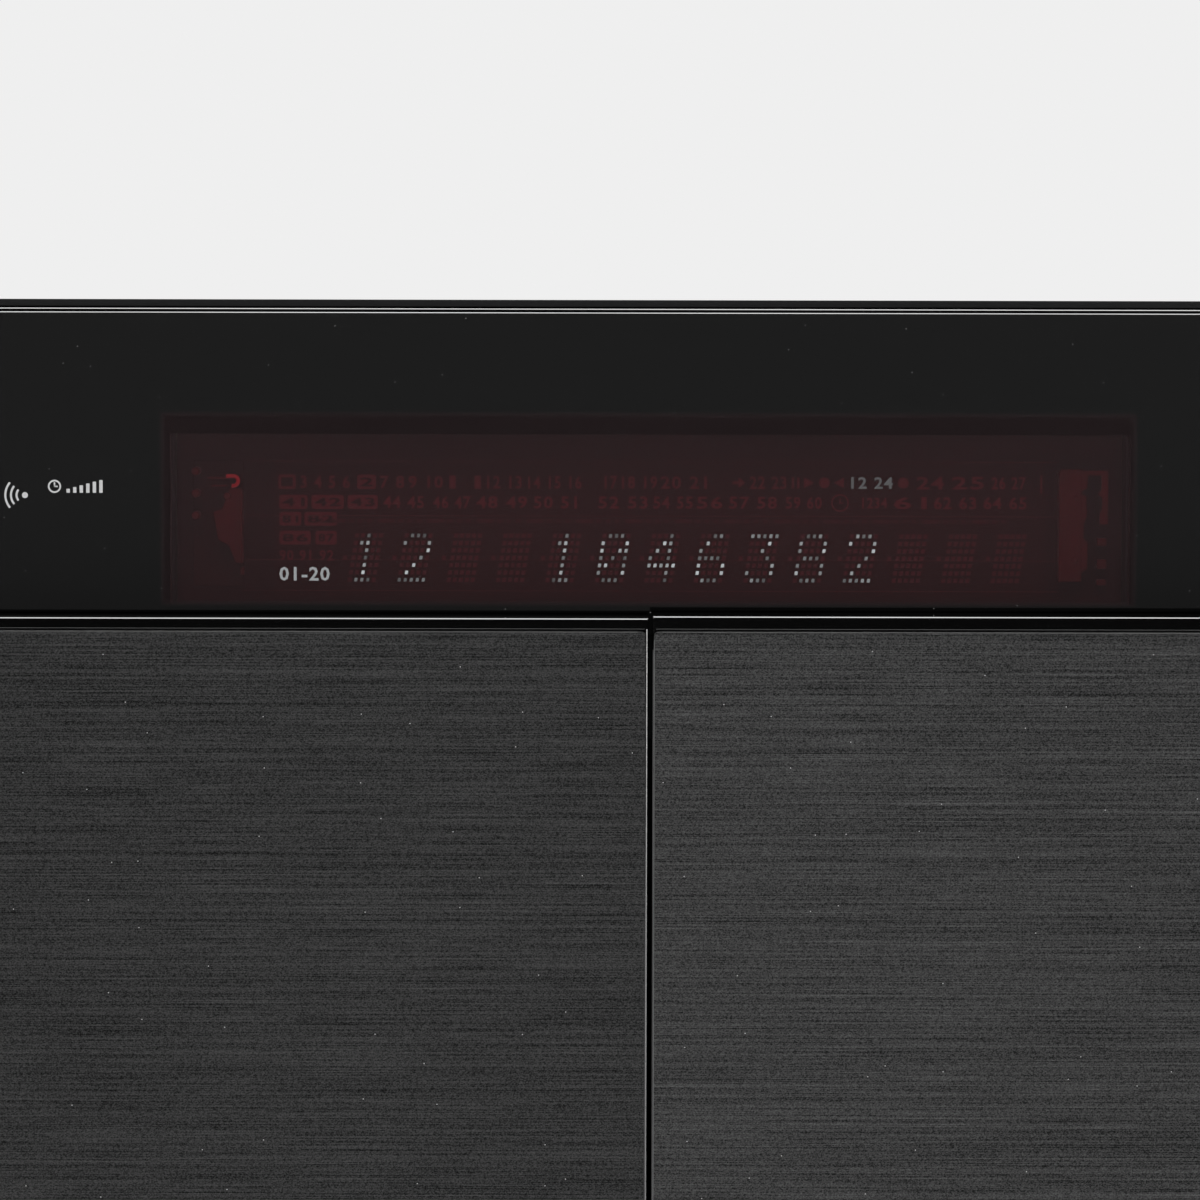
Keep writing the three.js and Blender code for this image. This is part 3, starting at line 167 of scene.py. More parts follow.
# Finishes
def tone(colour, level=1.0):
    return (*[part * level for part in colour], 1.0)


def grey(level):
    return tone((level, level, level))


# Two tones and a fine texture. The tones follow the cloud, or the texture where there is none.
def surface(name, slot, fixed, tones, grit, rough, cloud=None, bump=0.0, ends=(0.2, 0.8)):
    paint = Paint(name, slot, fixed)
    texture = paint.grain(*grit)
    share = paint.grain(*cloud) if cloud else texture
    paint.put("Base Color", paint.blend(share, *tones))
    paint.put("Roughness", texture.fade(*ends, *rough))
    if bump:
        paint.relief(texture, bump)
    return paint


def mouldedBlack(name, level, rough):
    tones = (grey(level * 0.8), grey(level * 1.25))
    rough = (rough - 0.08, rough + 0.1)
    return surface(name, "matte_black", {"IOR": 1.5}, tones, (0.28, 3.0, 0.6), rough, (22, 3.0), 0.03)


def coverPaint(name, level, shine):
    tones = [tone(colour, level) for colour in ((0.006, 0.0062, 0.0067), (0.01, 0.0103, 0.011))]
    fixed = {"IOR": 1.5, "Specular IOR Level": shine}
    return surface(name, "cover_paint", fixed, tones, (0.55, 3.0, 0.55), (0.5, 0.64), (35, 3.0), 0.035)


def metalPaint(name, slot, colour, rough, mark=0.5, metallic=1.0):
    tones = (tone(colour, 0.78), tone(colour))
    rough = (rough - 0.08, rough + 0.12)
    grit = (mark, 4.0, 0.6)
    return surface(name, slot, {"Metallic": metallic}, tones, grit, rough, (14, 3.0), 0.002, (0.25, 0.75))


def plasticPaint(name, slot, colour, rough):
    tones = (tone(colour, 0.86), tone(colour))
    rough = (rough - 0.06, rough + 0.08)
    return surface(name, slot, {"IOR": 1.5}, tones, (0.3, 3.0, 0.6), rough, (12, 3.0), 0.012)


def glossSheet(name, cloudWidth, rough, coat):
    paint = Paint(name, name, {"IOR": 1.49, "Coat IOR": 1.5, "Coat Roughness": 0.02})
    cloud = paint.grain(cloudWidth, 3.0)
    paint.put("Roughness", cloud.fade(0.3, 0.7, *rough))
    paint.put("Coat Weight", cloud.fade(0.2, 0.8, coat, 1.0))
    return paint


def glossBlack():
    paint = glossSheet("gloss_black", 18, (0.05, 0.09), 0.96)
    dust = paint.grain(0.35, 2.0, 0.6).fade(0.7, 0.82)
    paint.put("Base Color", paint.blend(dust * 0.25, grey(0.0008), grey(0.05)))
    return paint


# Brushed metal with fine lines, dust specks and scratch marks. The bright level sets its tone, and the two
# door plates get a darker and a lighter level as painted shade and light.
def brushedPaint(name, bright, shift):
    turn = {"Metallic": 1.0, "Anisotropic": 0.7, "Anisotropic Rotation": 0.25}
    paint = Paint(name, "brushed_plate", turn)
    thread = paint.grain(0.1, 1.0, 0.5, 150, shift)
    streak = paint.grain(0.13, 1.0, 0.5, 500, shift + 7.3)
    grit = paint.grain(0.13, 1.0, 0.5, 1.4, shift + 4.4)
    cloud = paint.grain(38, 3.0, 0.5, 1.4, shift + 2.1)
    mark = paint.grain(0.15, 1.0, 0.5, 260, shift + 5.5).fade(0.7, 0.82)
    line = (thread - 0.5) * 1.9 + (streak - 0.5) * 1.5 + (grit - 0.5) * 3.0 + (cloud - 0.5) * 0.25
    base = paint.blend((line + 1).atLeast(0.2) * (bright * 0.5), grey(0.0), grey(1.0))
    base = paint.blend(mark * 0.4, base, grey(bright * 0.2))
    paint.put("Base Color", paint.blend(paint.specks(11.0, 0.08), base, grey(0.6)))
    paint.put("Roughness", thread.fade(0.2, 0.8, 0.37, 0.49))
    paint.relief(thread, 0.0015)
    return paint


def zincPaint():
    paint = Paint("zinc_steel", "zinc_steel", {"Metallic": 1.0})
    flake = paint.cells(5.5)
    scuff = paint.grain(0.5, 4.0, 0.6)
    paint.put("Base Color", paint.blend(flake, tone((0.44, 0.45, 0.47)), tone((0.62, 0.63, 0.64))))
    paint.put("Roughness", flake.fade(0.0, 1.0, 0.28, 0.42) + scuff * 0.08)
    paint.relief(scuff, 0.004)
    return paint


def boardPaint():
    paint = Paint("circuit_board", "circuit_board", {"IOR": 1.5})
    values = {"Color1": grey(0.0), "Color2": grey(1.0), "Scale": 90.0, "Mortar Size": 0.06}
    brick = {"offset": 0.5, "squash": 1.0}
    trace = paint.node("TexBrick", brick, {"Vector": paint.place(), **values}, "Fac")
    via = paint.cells(4.2).fade(0.1, 0.16, 1.0, 0.0)
    mask = paint.blend(trace, tone((0.012, 0.075, 0.026)), tone((0.022, 0.13, 0.045)))
    paint.put("Base Color", paint.blend(via, mask, tone((0.55, 0.5, 0.38))))
    paint.put("Metallic", via)
    paint.put("Roughness", via.fade(0, 1, 0.32, 0.4))
    paint.relief(trace, 0.03)
    return paint


rubberTones = (grey(0.008), grey(0.02))
printTones = (grey(0.45), grey(0.5))
paints = {
    "gloss": glossBlack(),
    "black": mouldedBlack("matte_black", 0.011, 0.52),
    "inner": mouldedBlack("inner_black", 0.003, 0.6),
    "cover": coverPaint("cover_paint", 1.0, 0.25),
    # Painted shade: a darker, less shiny copy of the cover paint for the cover's front lip
    "lip": coverPaint("cover_lip_shaded", 0.7, 0.18),
    # Painted shade and light: one brushed plate in a darker copy for the left door and a lighter copy for
    # the right door, the knob and the buttons
    "brushedLeftShaded": brushedPaint("brushed_plate_left", 0.087, 3.0),
    "brushedRightLit": brushedPaint("brushed_plate_right", 0.114, 11.0),
    "steel": zincPaint(),
    "bright": metalPaint("bright_steel", "zinc_steel", (0.62, 0.62, 0.61), 0.22),
    "blackZinc": metalPaint("black_zinc", "zinc_steel", (0.13, 0.13, 0.135), 0.38),
    # Painted highlight, in part: a lighter metal for the left door's inner rim, whose line also reflects the
    # side strip
    "brightEdgeHighlight": metalPaint("bright_edge_highlight", "brushed_plate", (0.15, 0.15, 0.15), 0.3),
    # Painted highlight: a lighter metal than the plates, for stripes along their edges
    "plateEdgeHighlight": metalPaint("plate_edge_highlight", "brushed_plate", (0.17, 0.17, 0.17), 0.42),
    "gold": metalPaint("contact_gold", "zinc_steel", (0.83, 0.6, 0.25), 0.25),
    "copper": metalPaint("winding_copper", "wound_core", (0.6, 0.24, 0.1), 0.35),
    "sink": metalPaint("sink_aluminium", "sink_aluminium", (0.6, 0.61, 0.62), 0.4, 0.8),
    "lens": metalPaint("pickup_lens", "tube_glass", (0.05, 0.09, 0.22), 0.12, 0.5, 0.4),
    "nylon": plasticPaint("white_nylon", "white_nylon", (0.72, 0.71, 0.66), 0.42),
    "red": plasticPaint("terminal_red", "matte_black", (0.42, 0.015, 0.012), 0.4),
    "white": plasticPaint("socket_white", "white_nylon", (0.75, 0.75, 0.73), 0.35),
    "board": boardPaint(),
    "rubber": surface("foot_rubber", "foot_rubber", {"IOR": 1.5}, rubberTones, (0.45, 4.0, 0.7),
                      (0.7, 0.9), None, 0.05),
    "print": surface("front_print", "matte_black", {"IOR": 1.5}, printTones, (0.12, 2.0), (0.4, 0.55)),
}
print("finishes made,", len(paints))


# Mesh parts: each function gives a bmesh, in metres
def bring(bm, part, matrix=None):
    if matrix is not None:
        bmesh.ops.transform(part, matrix=matrix, verts=part.verts)
    carrier = bpy.data.meshes.new("carrier")
    part.to_mesh(carrier)
    part.free()
    bm.from_mesh(carrier)
    bpy.data.meshes.remove(carrier)


def softEdges(bm, edges, width, steps=2):
    settings = {"affect": "EDGES", "offset_type": "OFFSET", "profile": 0.5, "material": -1}
    bmesh.ops.bevel(bm, geom=edges, offset=width * mm, segments=steps, clamp_overlap=True, **settings)


def sharpEdges(bm):
    limit = math.radians(35)
    return [edge for edge in bm.edges if len(edge.link_faces) == 2 and edge.calc_face_angle(0) > limit]


def blockPart(x, y, z, edge=0.0, steps=2):
    bm = bmesh.new()
    centre = Vector([(low + high) / 2 * mm for low, high in (x, y, z)])
    size = Vector([(high - low) * mm for low, high in (x, y, z)])
    place = Matrix.Translation(centre) @ Matrix.Diagonal(size).to_4x4()
    bmesh.ops.create_cube(bm, size=1.0, matrix=place)
    if edge:
        softEdges(bm, bm.edges[:], edge, steps)
    return bm


def arcPoints(x, z, radius, start, end, steps):
    angles = [math.radians(start + (end - start) * i / steps) for i in range(steps + 1)]
    return [(x + radius * math.cos(a), z + radius * math.sin(a)) for a in angles]


def roundOutline(x, z, radius, steps):
    points = []
    for cx, cz, start, inX, inZ in ((x[1], z[0], -90, -1, 1), (x[1], z[1], 0, -1, -1),
                                    (x[0], z[1], 90, 1, -1), (x[0], z[0], 180, 1, 1)):
        points += arcPoints(cx + inX * radius, cz + inZ * radius, radius, start, start + 90, steps)
    return points


def outlineFace(bm, outline, y):
    return bm.faces.new([bm.verts.new((px * mm, y * mm, pz * mm)) for px, pz in outline])


def thicken(bm, faces, y):
    grown = bmesh.ops.extrude_face_region(bm, geom=faces)
    far = [item for item in grown["geom"] if isinstance(item, bmesh.types.BMVert)]
    bmesh.ops.translate(bm, verts=far, vec=(0, (y[1] - y[0]) * mm, 0))
    bmesh.ops.recalc_face_normals(bm, faces=bm.faces)


# A flat outline in X and Z, made solid from y to y, with softened edges
def sheetPart(outline, y, edge=0.0, steps=2):
    bm = bmesh.new()
    thicken(bm, [outlineFace(bm, outline, y[0])], y)
    if edge:
        softEdges(bm, sharpEdges(bm), edge, steps)
    return bm


def slabPart(x, y, z, corner, edge=0.0, steps=2, bend=6):
    return sheetPart(roundOutline(x, z, corner, bend), y, edge, steps)


def framePart(x, y, z, wall):
    bm = bmesh.new()
    face = outlineFace(bm, roundOutline(x, z, wall, 1), y[0])
    bm.normal_update()
    bmesh.ops.inset_region(bm, faces=[face], thickness=wall * mm, use_boundary=True, use_even_offset=True)
    bmesh.ops.delete(bm, geom=[face], context="FACES")
    thicken(bm, bm.faces[:], y)
    return bm


# A part made round Z, laid along the wanted axis
turns = {"Z": Matrix(), "front": Matrix.Rotation(math.radians(90), 4, "X"),
         "back": Matrix.Rotation(math.radians(-90), 4, "X")}


def lay(bm, centre, along):
    place = Matrix.Translation(Vector(centre) * mm)
    bmesh.ops.transform(bm, matrix=place @ turns[along], verts=bm.verts)
    return bm


# A profile of radius and height, turned round its axis
def turnedPart(profile, centre, along="Z", steps=48):
    bm = bmesh.new()
    verts = [bm.verts.new((radius * mm, 0, height * mm)) for radius, height in profile]
    edges = [bm.edges.new(pair) for pair in zip(verts, verts[1:])]
    settings = {"cent": (0, 0, 0), "axis": (0, 0, 1), "angle": math.tau, "steps": steps}
    bmesh.ops.spin(bm, geom=verts + edges, use_duplicate=False, use_merge=True, **settings)
    bmesh.ops.remove_doubles(bm, verts=bm.verts, dist=1e-7)
    bmesh.ops.recalc_face_normals(bm, faces=bm.faces)
    return lay(bm, centre, along)


# A ring of square section, from its inner and outer radius and its lower and upper end
def ringPart(radii, ends, centre, along="front", steps=32):
    inner, outer = radii
    low, high = ends
    profile = [(inner, low), (outer, low), (outer, high), (inner, high), (inner, low)]
    return turnedPart(profile, centre, along, steps)


# A rod of round section that follows points in millimetres
def rodPart(points, radius, sides=8):
    bm = bmesh.new()
    rings = []
    spots = [Vector(point) * mm for point in points]
    last = len(spots) - 1
    for i, spot in enumerate(spots):
        ahead = spots[min(i + 1, last)] - spots[max(i - 1, 0)]
        place = Matrix.Translation(spot) @ ahead.to_track_quat("Z", "Y").to_matrix().to_4x4()
        settings = {"cap_ends": i in (0, last), "segments": sides, "radius": radius * mm}
        ring = bmesh.ops.create_circle(bm, matrix=place, **settings)["verts"]
        rings.append([edge for edge in bm.edges if all(vert in ring for vert in edge.verts)
                      and len(edge.link_faces) < 2 and not any(len(v.link_edges) > 3 for v in edge.verts)])
    for first, second in zip(rings, rings[1:]):
        bmesh.ops.bridge_loops(bm, edges=[edge for edge in first + second if edge.is_valid])
    bmesh.ops.recalc_face_normals(bm, faces=bm.faces)
    return bm


# A cross headed screw whose head rises towards the front, the back or the top
def screwPart(centre, along, radius=2.8, height=1.6):
    well = radius * 0.6
    deep = height * 0.25
    profile = [(0, deep), (well, deep), (well, height * 0.94), (radius * 0.86, height * 0.66),
               (radius, height * 0.2), (radius, -0.4), (0, -0.4)]
    bm = turnedPart(profile, (0, 0, 0), "Z", 28)
    side = (radius * 0.13, radius * 0.46)
    for turn in (0, 90, 180, 270):
        quarter = blockPart(side, side, (deep - 0.05, height * 0.97), 0.05, 1)
        bring(bm, quarter, Matrix.Rotation(math.radians(turn), 4, "Z"))
    return lay(bm, centre, along)


# A merged copy of a node's own mesh
def mergedCopy(node):
    bm = bmesh.new()
    bm.from_mesh(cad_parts[node].data)
    bmesh.ops.remove_doubles(bm, verts=bm.verts, dist=1e-6)
    bmesh.ops.dissolve_limit(bm, angle_limit=math.radians(0.5), verts=bm.verts, edges=bm.edges)
    return bm


def placed(name, data, matrix=Matrix()):
    item = bpy.data.objects.new(name, data)
    scene.collection.objects.link(item)
    item.matrix_world = matrix
    return item


# Wide faces keep their own direction, and narrow bevels turn between them
def evenNormals(piece, keepSharp):
    even = piece.modifiers.new("normals", "WEIGHTED_NORMAL")
    even.weight = 50
    even.keep_sharp = keepSharp


def bevelEdges(piece, width):
    bevel = piece.modifiers.new("bevel", "BEVEL")
    bevel.width = width * mm
    bevel.segments = 2
    bevel.limit_method = "ANGLE"
    bevel.angle_limit = math.radians(35)


# The look is a key of paints or a finish of its own
def addPiece(name, parts, look, body="housing", stands=(), soft=0.0):
    paint = paints.get(look, look)
    bm = bmesh.new()
    for part in parts:
        bring(bm, part)
    mesh = bpy.data.meshes.new(name)
    bm.to_mesh(mesh)
    bm.free()
    mesh.materials.append(paint.material)
    mesh.shade_smooth()
    mesh.set_sharp_from_angle(angle=math.radians(32))
    piece = placed(name, mesh)
    if soft:
        bevelEdges(piece, soft)
    evenNormals(piece, True)
    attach(piece, body)
    if stands:
        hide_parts(*stands)
    return piece


# The frame's own nodes: a finish, softened edges in millimetres, and the nodes that have both
nodeLooks = [
    ("steel", 0.15, ["bottom_chassis"]), ("cover", 0.12, ["top_cover"]), ("cover", 0.15, ["rear_panel"]),
    ("rubber", 0.5, ["foot_front_left", "foot_front_right", "foot_rear_left", "foot_rear_right"]),
    ("inner", 0.2, ["display_holder"]), ("board", 0.1, ["display_board", "key_board", "main_board"]),
    ("nylon", 0.3, ["door_right_shoe", "door_left_shoe"]),
    ("nylon", 0.12, ["door_right_carrier", "door_left_carrier"]),
    ("bright", 0.2, ["door_rail_upper", "door_rail_lower"]),
    ("nylon", 0.06, ["door_pinion", "door_motor_pinion"]),
    ("nylon", 0.08, ["tray_drive_gear", "loader_motor_gear"]),
    ("steel", 0.4, ["door_motor", "loader_motor"]), ("steel", 0.08, ["usb_socket"]),
    ("steel", 0.2, ["clamp_bridge"]), ("black", 0.25, ["loader_chassis"]), ("black", 0.6, ["dock_cradle"]),
    ("black", 0.3, ["bay_liner", "fan_frame", "speaker_terminals", "mains_inlet"]),
    ("black", 0.2, ["headphone_socket", "clamp_disc", "traverse", "input_sockets"]),
    ("white", 0.2, ["turntable"]), ("inner", 0.3, ["pickup_sled"]), ("inner", 0.15, ["fan_rotor"]),
    ("sink", 0.15, ["heat_sink"]),
]


def smoothTree():
    tree = bpy.data.node_groups.new("smooth_faces", "GeometryNodeTree")
    for way in ("INPUT", "OUTPUT"):
        tree.interface.new_socket("Geometry", in_out=way, socket_type="NodeSocketGeometry")
    start = tree.nodes.new("NodeGroupInput")
    smooth = tree.nodes.new("GeometryNodeSetShadeSmooth")
    end = tree.nodes.new("NodeGroupOutput")
    tree.links.new(start.outputs[0], smooth.inputs["Geometry"])
    tree.links.new(smooth.outputs[0], end.inputs[0])
    return tree


def dressNodes():
    smooth = smoothTree()
    for look, edge, names in nodeLooks:
        for name in names:
            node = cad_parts[name]
            node.data.materials.clear()
            node.data.materials.append(paints[look].material)
            node.modifiers.new("weld", "WELD").merge_threshold = 1e-6
            bevelEdges(node, edge)
            node.modifiers.new("smooth", "NODES").node_group = smooth
            evenNormals(node, False)


# Display band: one gloss sheet, with a smoked window whose edge is soft, and a painted shadow: a near-black
# strip along its foot, where the door tops cast shade and show their mirror image
band = {
    "corner": 1.0, "edge": 0.1, "lower": 0.17, "paintedShadowLine": (156.12, 156.22), "step": 0.44,
    "windowX": (-61.0, 60.6), "windowZ": (157.0, 180.7), "soft": 0.5, "seeThrough": 0.65,
    "smoke": (0.0355, 0.0244, 0.0258), "black": 0.0098, "paintedShadowLineBlack": 0.0008, "dust": 0.2,
}


def bandPaint():
    paint = glossSheet("smoked_acrylic", 22, (0.04, 0.07), 0.97)
    x, y, z = paint.axes()

    def within(axis, span):
        low, high = around((span[1] - span[0]) / 2, band["soft"])
        return (axis - middle(span)).size().fade(low, high, 1.0, 0.0)

    window = within(x, band["windowX"]) * within(z, band["windowZ"])
    colour = paint.blend(window, grey(band["black"]), tone(band["smoke"]))
    # Painted shadow and reflection: below this line, which is higher by step over the right door, the band
    # is painted near black
    clear = (z - x.above(0.0) * band["step"]).fade(*band["paintedShadowLine"])
    colour = paint.blend(clear, grey(band["paintedShadowLineBlack"]), colour)
    paint.put("Base Color", paint.blend(paint.specks(9.0, 0.07), colour, grey(band["dust"])))
    paint.put("Alpha", 1 - window * band["seeThrough"])
    return paint


def makeBand():
    x, y, z = limits("display_panel")
    sheet = slabPart(x, y, (z[0], z[1] - band["lower"]), band["corner"], band["edge"], 1)
    addPiece("display_band", [sheet], bandPaint(), "housing", ["display_panel"])


# Display tube
tube = {
    "glassCorner": 0.8, "thick": 0.05, "baseThick": 1.5, "baseLift": 0.005, "unlit": (0.15, 0.008, 0.014),
    "plate": (0.044, 0.002, 0.003), "ground": (0.052, 0.002, 0.002), "steel": (0.17, 0.006, 0.009),
    "getter": (0.95, 0.03, 0.05), "groundX": (-47.6, 50.2), "groundZ": (157.4, 174.7),
    "firstX": -36.06, "characterPitch": 6.285, "characters": 14, "matrixTop": 165.1,
    "dotPitchX": 0.765, "dotPitchZ": 0.939, "dot": (0.26, 0.28), "litDot": (0.19, 0.23), "slant": 0.165,
    "reading": "12  1046382   ", "glow": 0.84, "faint": (0.1, 0.005, 0.009), "icon": (0.2, 0.01, 0.018),
    "seed": 4, "spread": (0.4, 1.4), "litTint": (0.93, 0.98, 1.0),
    "even": (5, 10), "wireX": (-51.5, 51.7), "wireZ": (174.6, 167.7, 162.1, 158.2),
}
digitRows = {
    "0": "01110 10001 10011 10101 11001 10001 01110",
    "1": "00100 01100 00100 00100 00100 00100 01110",
    "2": "01110 10001 00001 00010 00100 01000 11111",
    "3": "11111 00010 00100 00010 00001 10001 01110",
    "4": "00010 00110 01010 10010 11111 00010 00010",
    "6": "00110 01000 10000 11110 10001 10001 01110",
    "8": "01110 10001 10001 01110 10001 10001 01110",
    " ": "00000 00000 00000 00000 00000 00000 00000",
}
rowGlow = (0.28, 1.0, 0.95, 0.35, 0.95, 1.05, 0.3)
tubeFront = limits("display_tube_base")[1][1] - tube["baseThick"]
markY = (tubeFront - tube["thick"], tubeFront)


def tubePaint(name, colour, rough, metallic=0.0):
    fixed = {"Metallic": metallic, "Specular IOR Level": 0.12}
    tones = (tone(colour, 0.8), tone(colour, 1.2))
    return surface(name, "tube_anodes", fixed, tones, (0.9, 3.0, 0.6), (rough, rough + 0.12))


def litPaint():
    fixed = {"Base Color": grey(0.1), "Emission Strength": tube["glow"]}
    paint = Paint("lit_segment", "tube_anodes", fixed)
    paint.put("Emission Color", paint.node("Attribute", {"attribute_name": "glow"}, {}, "Color"))
    return paint


def glassPaint():
    paint = Paint("tube_glass", "tube_glass", {"IOR": 1.5, "Base Color": tone((0.02, 0.008, 0.01))})
    smear = paint.grain(16, 3.0)
    paint.put("Alpha", smear.fade(0.2, 0.8, 0.04, 0.06))
    paint.put("Roughness", smear.fade(0.2, 0.8, 0.04, 0.09))
    return paint


# A flat mark on the base plate, leaning by the tube's slant when asked
def markPart(x, z, lean=0.0):
    bm = blockPart(x, markY, z)
    level = middle(z) * mm
    for vert in bm.verts:
        vert.co.x += (vert.co.z - level) * lean
    return bm


def dotPart(x, z, half, lean=0.0):
    return markPart(around(x, half[0]), around(z, half[1]), lean)


# Marks round a middle point, all in one layer: outlines, bars by their spans, arcs and rings
def drawMarks(marks, x, z, y):
    parts = [sheetPart([(x + px, z + pz) for px, pz in outline], y) for outline in marks.get("shapes", ())]
    parts += [blockPart((x + left, x + right), y, (z + low, z + high))
              for left, right, low, high in marks.get("bars", ())]
    for rise, radius, stroke, start, end, steps in marks.get("arcs", ()):
        outer = arcPoints(x, z + rise, radius + stroke / 2, start, end, steps)
        inner = arcPoints(x, z + rise, radius - stroke / 2, end, start, steps)
        parts.append(sheetPart(outer + inner, y))
    half = (y[1] - y[0]) / 2
    return parts + [ringPart(radii, (-half, half), (x, middle(y), z)) for radii in marks.get("rings", ())]


# The middle row of dots is the third below the top one
def makeMatrix():
    dark, lit = [], []
    random.seed(tube["seed"])
    pitchX, pitchZ, slant = tube["dotPitchX"], tube["dotPitchZ"], tube["slant"]
    first, last = tube["even"]
    for place in range(tube["characters"]):
        rows = digitRows[tube["reading"][place]].split()
        even = max(0.0, min(1.0, (place - first) / (last - first)))
        start = tube["firstX"] + place * tube["characterPitch"]
        for row in range(7):
            for column in range(5):
                x = start - 2 * pitchX + column * pitchX + (3 - row) * pitchZ * slant
                z = tube["matrixTop"] - row * pitchZ
                if rows[row][column] == "1":
                    level = rowGlow[row] * (1 - 0.4 * even) + 0.3 * even
                    part = dotPart(x, z, tube["litDot"], slant)
                    lit.append((part, level * random.uniform(*tube["spread"])))
                else:
                    dark.append(dotPart(x, z, tube["dot"], slant))
        dark.append(dotPart(start - 3.4 * pitchX, tube["matrixTop"] - 3 * pitchZ, tube["dot"]))
    return dark, lit


# Icon rows: middle height and height, then the spans of the boxes and of the numbers
iconRows = {
    "high": {"z": 171.9, "tall": 1.85, "first": 1, "boxes": [(-47.1, -44.9), (-37.1, -34.7)],
             "spans": [(-44.3, -38.0), (-34.2, -31.1), (-30.6, -26.2), (-25.4, -21.4), (-20.6, -16.2),
                       (-15.4, -8.6), (-5.7, -4.1), (-3.5, 1.0), (1.4, 7.3), (12.7, 17.4), (33.9, 37.4),
                       (38.4, 42.5), (43.4, 47.8)]},
    "second": {"z": 169.35, "tall": 1.8, "first": 41,
               "boxes": [(-47.0, -43.4), (-42.9, -38.8), (-38.3, -34.5)],
               "spans": [(-33.8, -28.6), (-27.5, -22.7), (-22.0, -15.5), (-14.7, -9.2), (-6.5, -0.2),
                         (0.5, 5.5), (6.0, 9.3), (10.1, 16.2), (17.3, 21.9), (31.0, 35.2), (36.1, 41.5),
                         (42.4, 47.9)]},
    "third": {"z": 167.2, "tall": 1.75, "first": 81, "boxes": [(-47.0, -44.2), (-43.8, -39.7)],
              "spans": []},
    "fourth": {"z": 164.8, "tall": 1.75, "first": 86, "boxes": [(-47.0, -43.0), (-42.4, -39.7)],
               "spans": []},
    "fifth": {"z": 162.55, "tall": 1.6, "first": 90, "boxes": [], "spans": [(-47.0, -40.1)]},
}
symbols = {
    "stroke": 0.3, "gap": 0.5, "digit": 0.95, "play": 0.7, "boxCorner": 0.3, "boxInset": 0.36, "inset": 0.1,
    "faintZ": (166.72, 167.22), "faintX": ((-2.9, -2.3), (-1.6, 0.6), (1.0, 1.7), (2.2, 2.8)),
    "pause": (18.05, 18.75), "skips": ((19.6, 20.9), (24.7, 23.4)), "rounds": (22.2, 32.2),
    "bar": (49.6, 49.85), "small": ("1234", (27.0, 30.2), (168.65, 170.05)),
    "lit": (("01-20", (-47.0, -40.6), (159.3, 161.1), 0.85),
            ("12 24", (25.6, 30.9), (171.15, 172.65), 0.22)),
    "clockX": 24.2, "clock": {"rings": [(0.95, 1.12)],
                              "bars": [(-0.08, 0.08, -0.1, 0.6), (-0.08, 0.45, -0.1, 0.06)]},
    "arrow": [(10.5, -0.2), (11.3, -0.2), (11.3, -0.7), (12.2, 0), (11.3, 0.7), (11.3, 0.2),
                              (10.5, 0.2)],
}


# Numerals that fill a span in X and a height in Z
def numeralPart(text, x, z, y=markY):
    curve = bpy.data.curves.new("numeral", "FONT")
    curve.body = text
    curve.resolution_u = 2
    curve.space_character = 1.12
    curve.offset = 0.022
    curve.extrude = 0.5
    carrier = placed("numeral", curve)
    bpy.context.view_layer.update()
    mesh = bpy.data.meshes.new_from_object(carrier.evaluated_get(bpy.context.evaluated_depsgraph_get()))
    bm = bmesh.new()
    bm.from_mesh(mesh)
    bpy.data.objects.remove(carrier)
    bpy.data.curves.remove(curve)
    bpy.data.meshes.remove(mesh)
    bmesh.ops.remove_doubles(bm, verts=bm.verts, dist=1e-5)
    bmesh.ops.transform(bm, matrix=Matrix.Rotation(math.radians(90), 4, "X"), verts=bm.verts)
    for axis, span in enumerate((x, y, z)):
        places = [vert.co[axis] for vert in bm.verts]
        low, high = min(places), max(places)
        for vert in bm.verts:
            share = (vert.co[axis] - low) / (high - low)
            vert.co[axis] = (span[0] + share * (span[1] - span[0])) * mm
    bmesh.ops.recalc_face_normals(bm, faces=bm.faces)
    return bm


# As many running numbers as a span holds
def runningText(x, number):
    words = [str(number)]
    while True:
        longer = words + [str(number + len(words))]
        width = sum(len(word) for word in longer) * symbols["digit"] + (len(longer) - 1) * symbols["gap"]
        if width > x[1] - x[0]:
            return " ".join(words), number + len(words)
        words = longer


def playMarks(z):
    half = symbols["play"]
    parts = [markPart((x, x + symbols["stroke"]), around(z, half)) for x in symbols["pause"]]
    for near, far in symbols["skips"]:
        parts.append(sheetPart([(near, z - half), (far, z), (near, z + half)], markY))
    parts += [sheetPart(arcPoints(x, z, half, 0, 337.5, 15), markY) for x in symbols["rounds"]]
    parts.append(sheetPart([(px, z + pz) for px, pz in symbols["arrow"]], markY))
    parts.append(markPart(symbols["bar"], (z - 1.3, z + 1.0)))
    return parts


def makeIcons():
    overlay = (markY[0] - 0.02, markY[0])
    inset = symbols["boxInset"]
    light = playMarks(iconRows["high"]["z"])
    light += drawMarks(symbols["clock"], symbols["clockX"], iconRows["second"]["z"], markY)
    light.append(numeralPart(*symbols["small"]))
    dark, faint = [], []
    for row in iconRows.values():
        number = row["first"]
        z = around(row["z"], row["tall"] / 2)
        for x in row["boxes"]:
            light.append(slabPart(x, markY, z, symbols["boxCorner"], bend=2))
            inner = (x[0] + inset, x[1] - inset)
            text, number = runningText(inner, number)
            dark.append(numeralPart(text, inner, (z[0] + inset, z[1] - inset), overlay))
        for x in row["spans"]:
            text, number = runningText(x, number)
            light.append(numeralPart(text, x, (z[0] + symbols["inset"], z[1] - symbols["inset"])))
    for place in range(tube["characters"]):
        x = tube["firstX"] + (place - 0.5) * tube["characterPitch"]
        faint += [markPart((x + low, x + high), symbols["faintZ"]) for low, high in symbols["faintX"]]
    return light, dark, faint


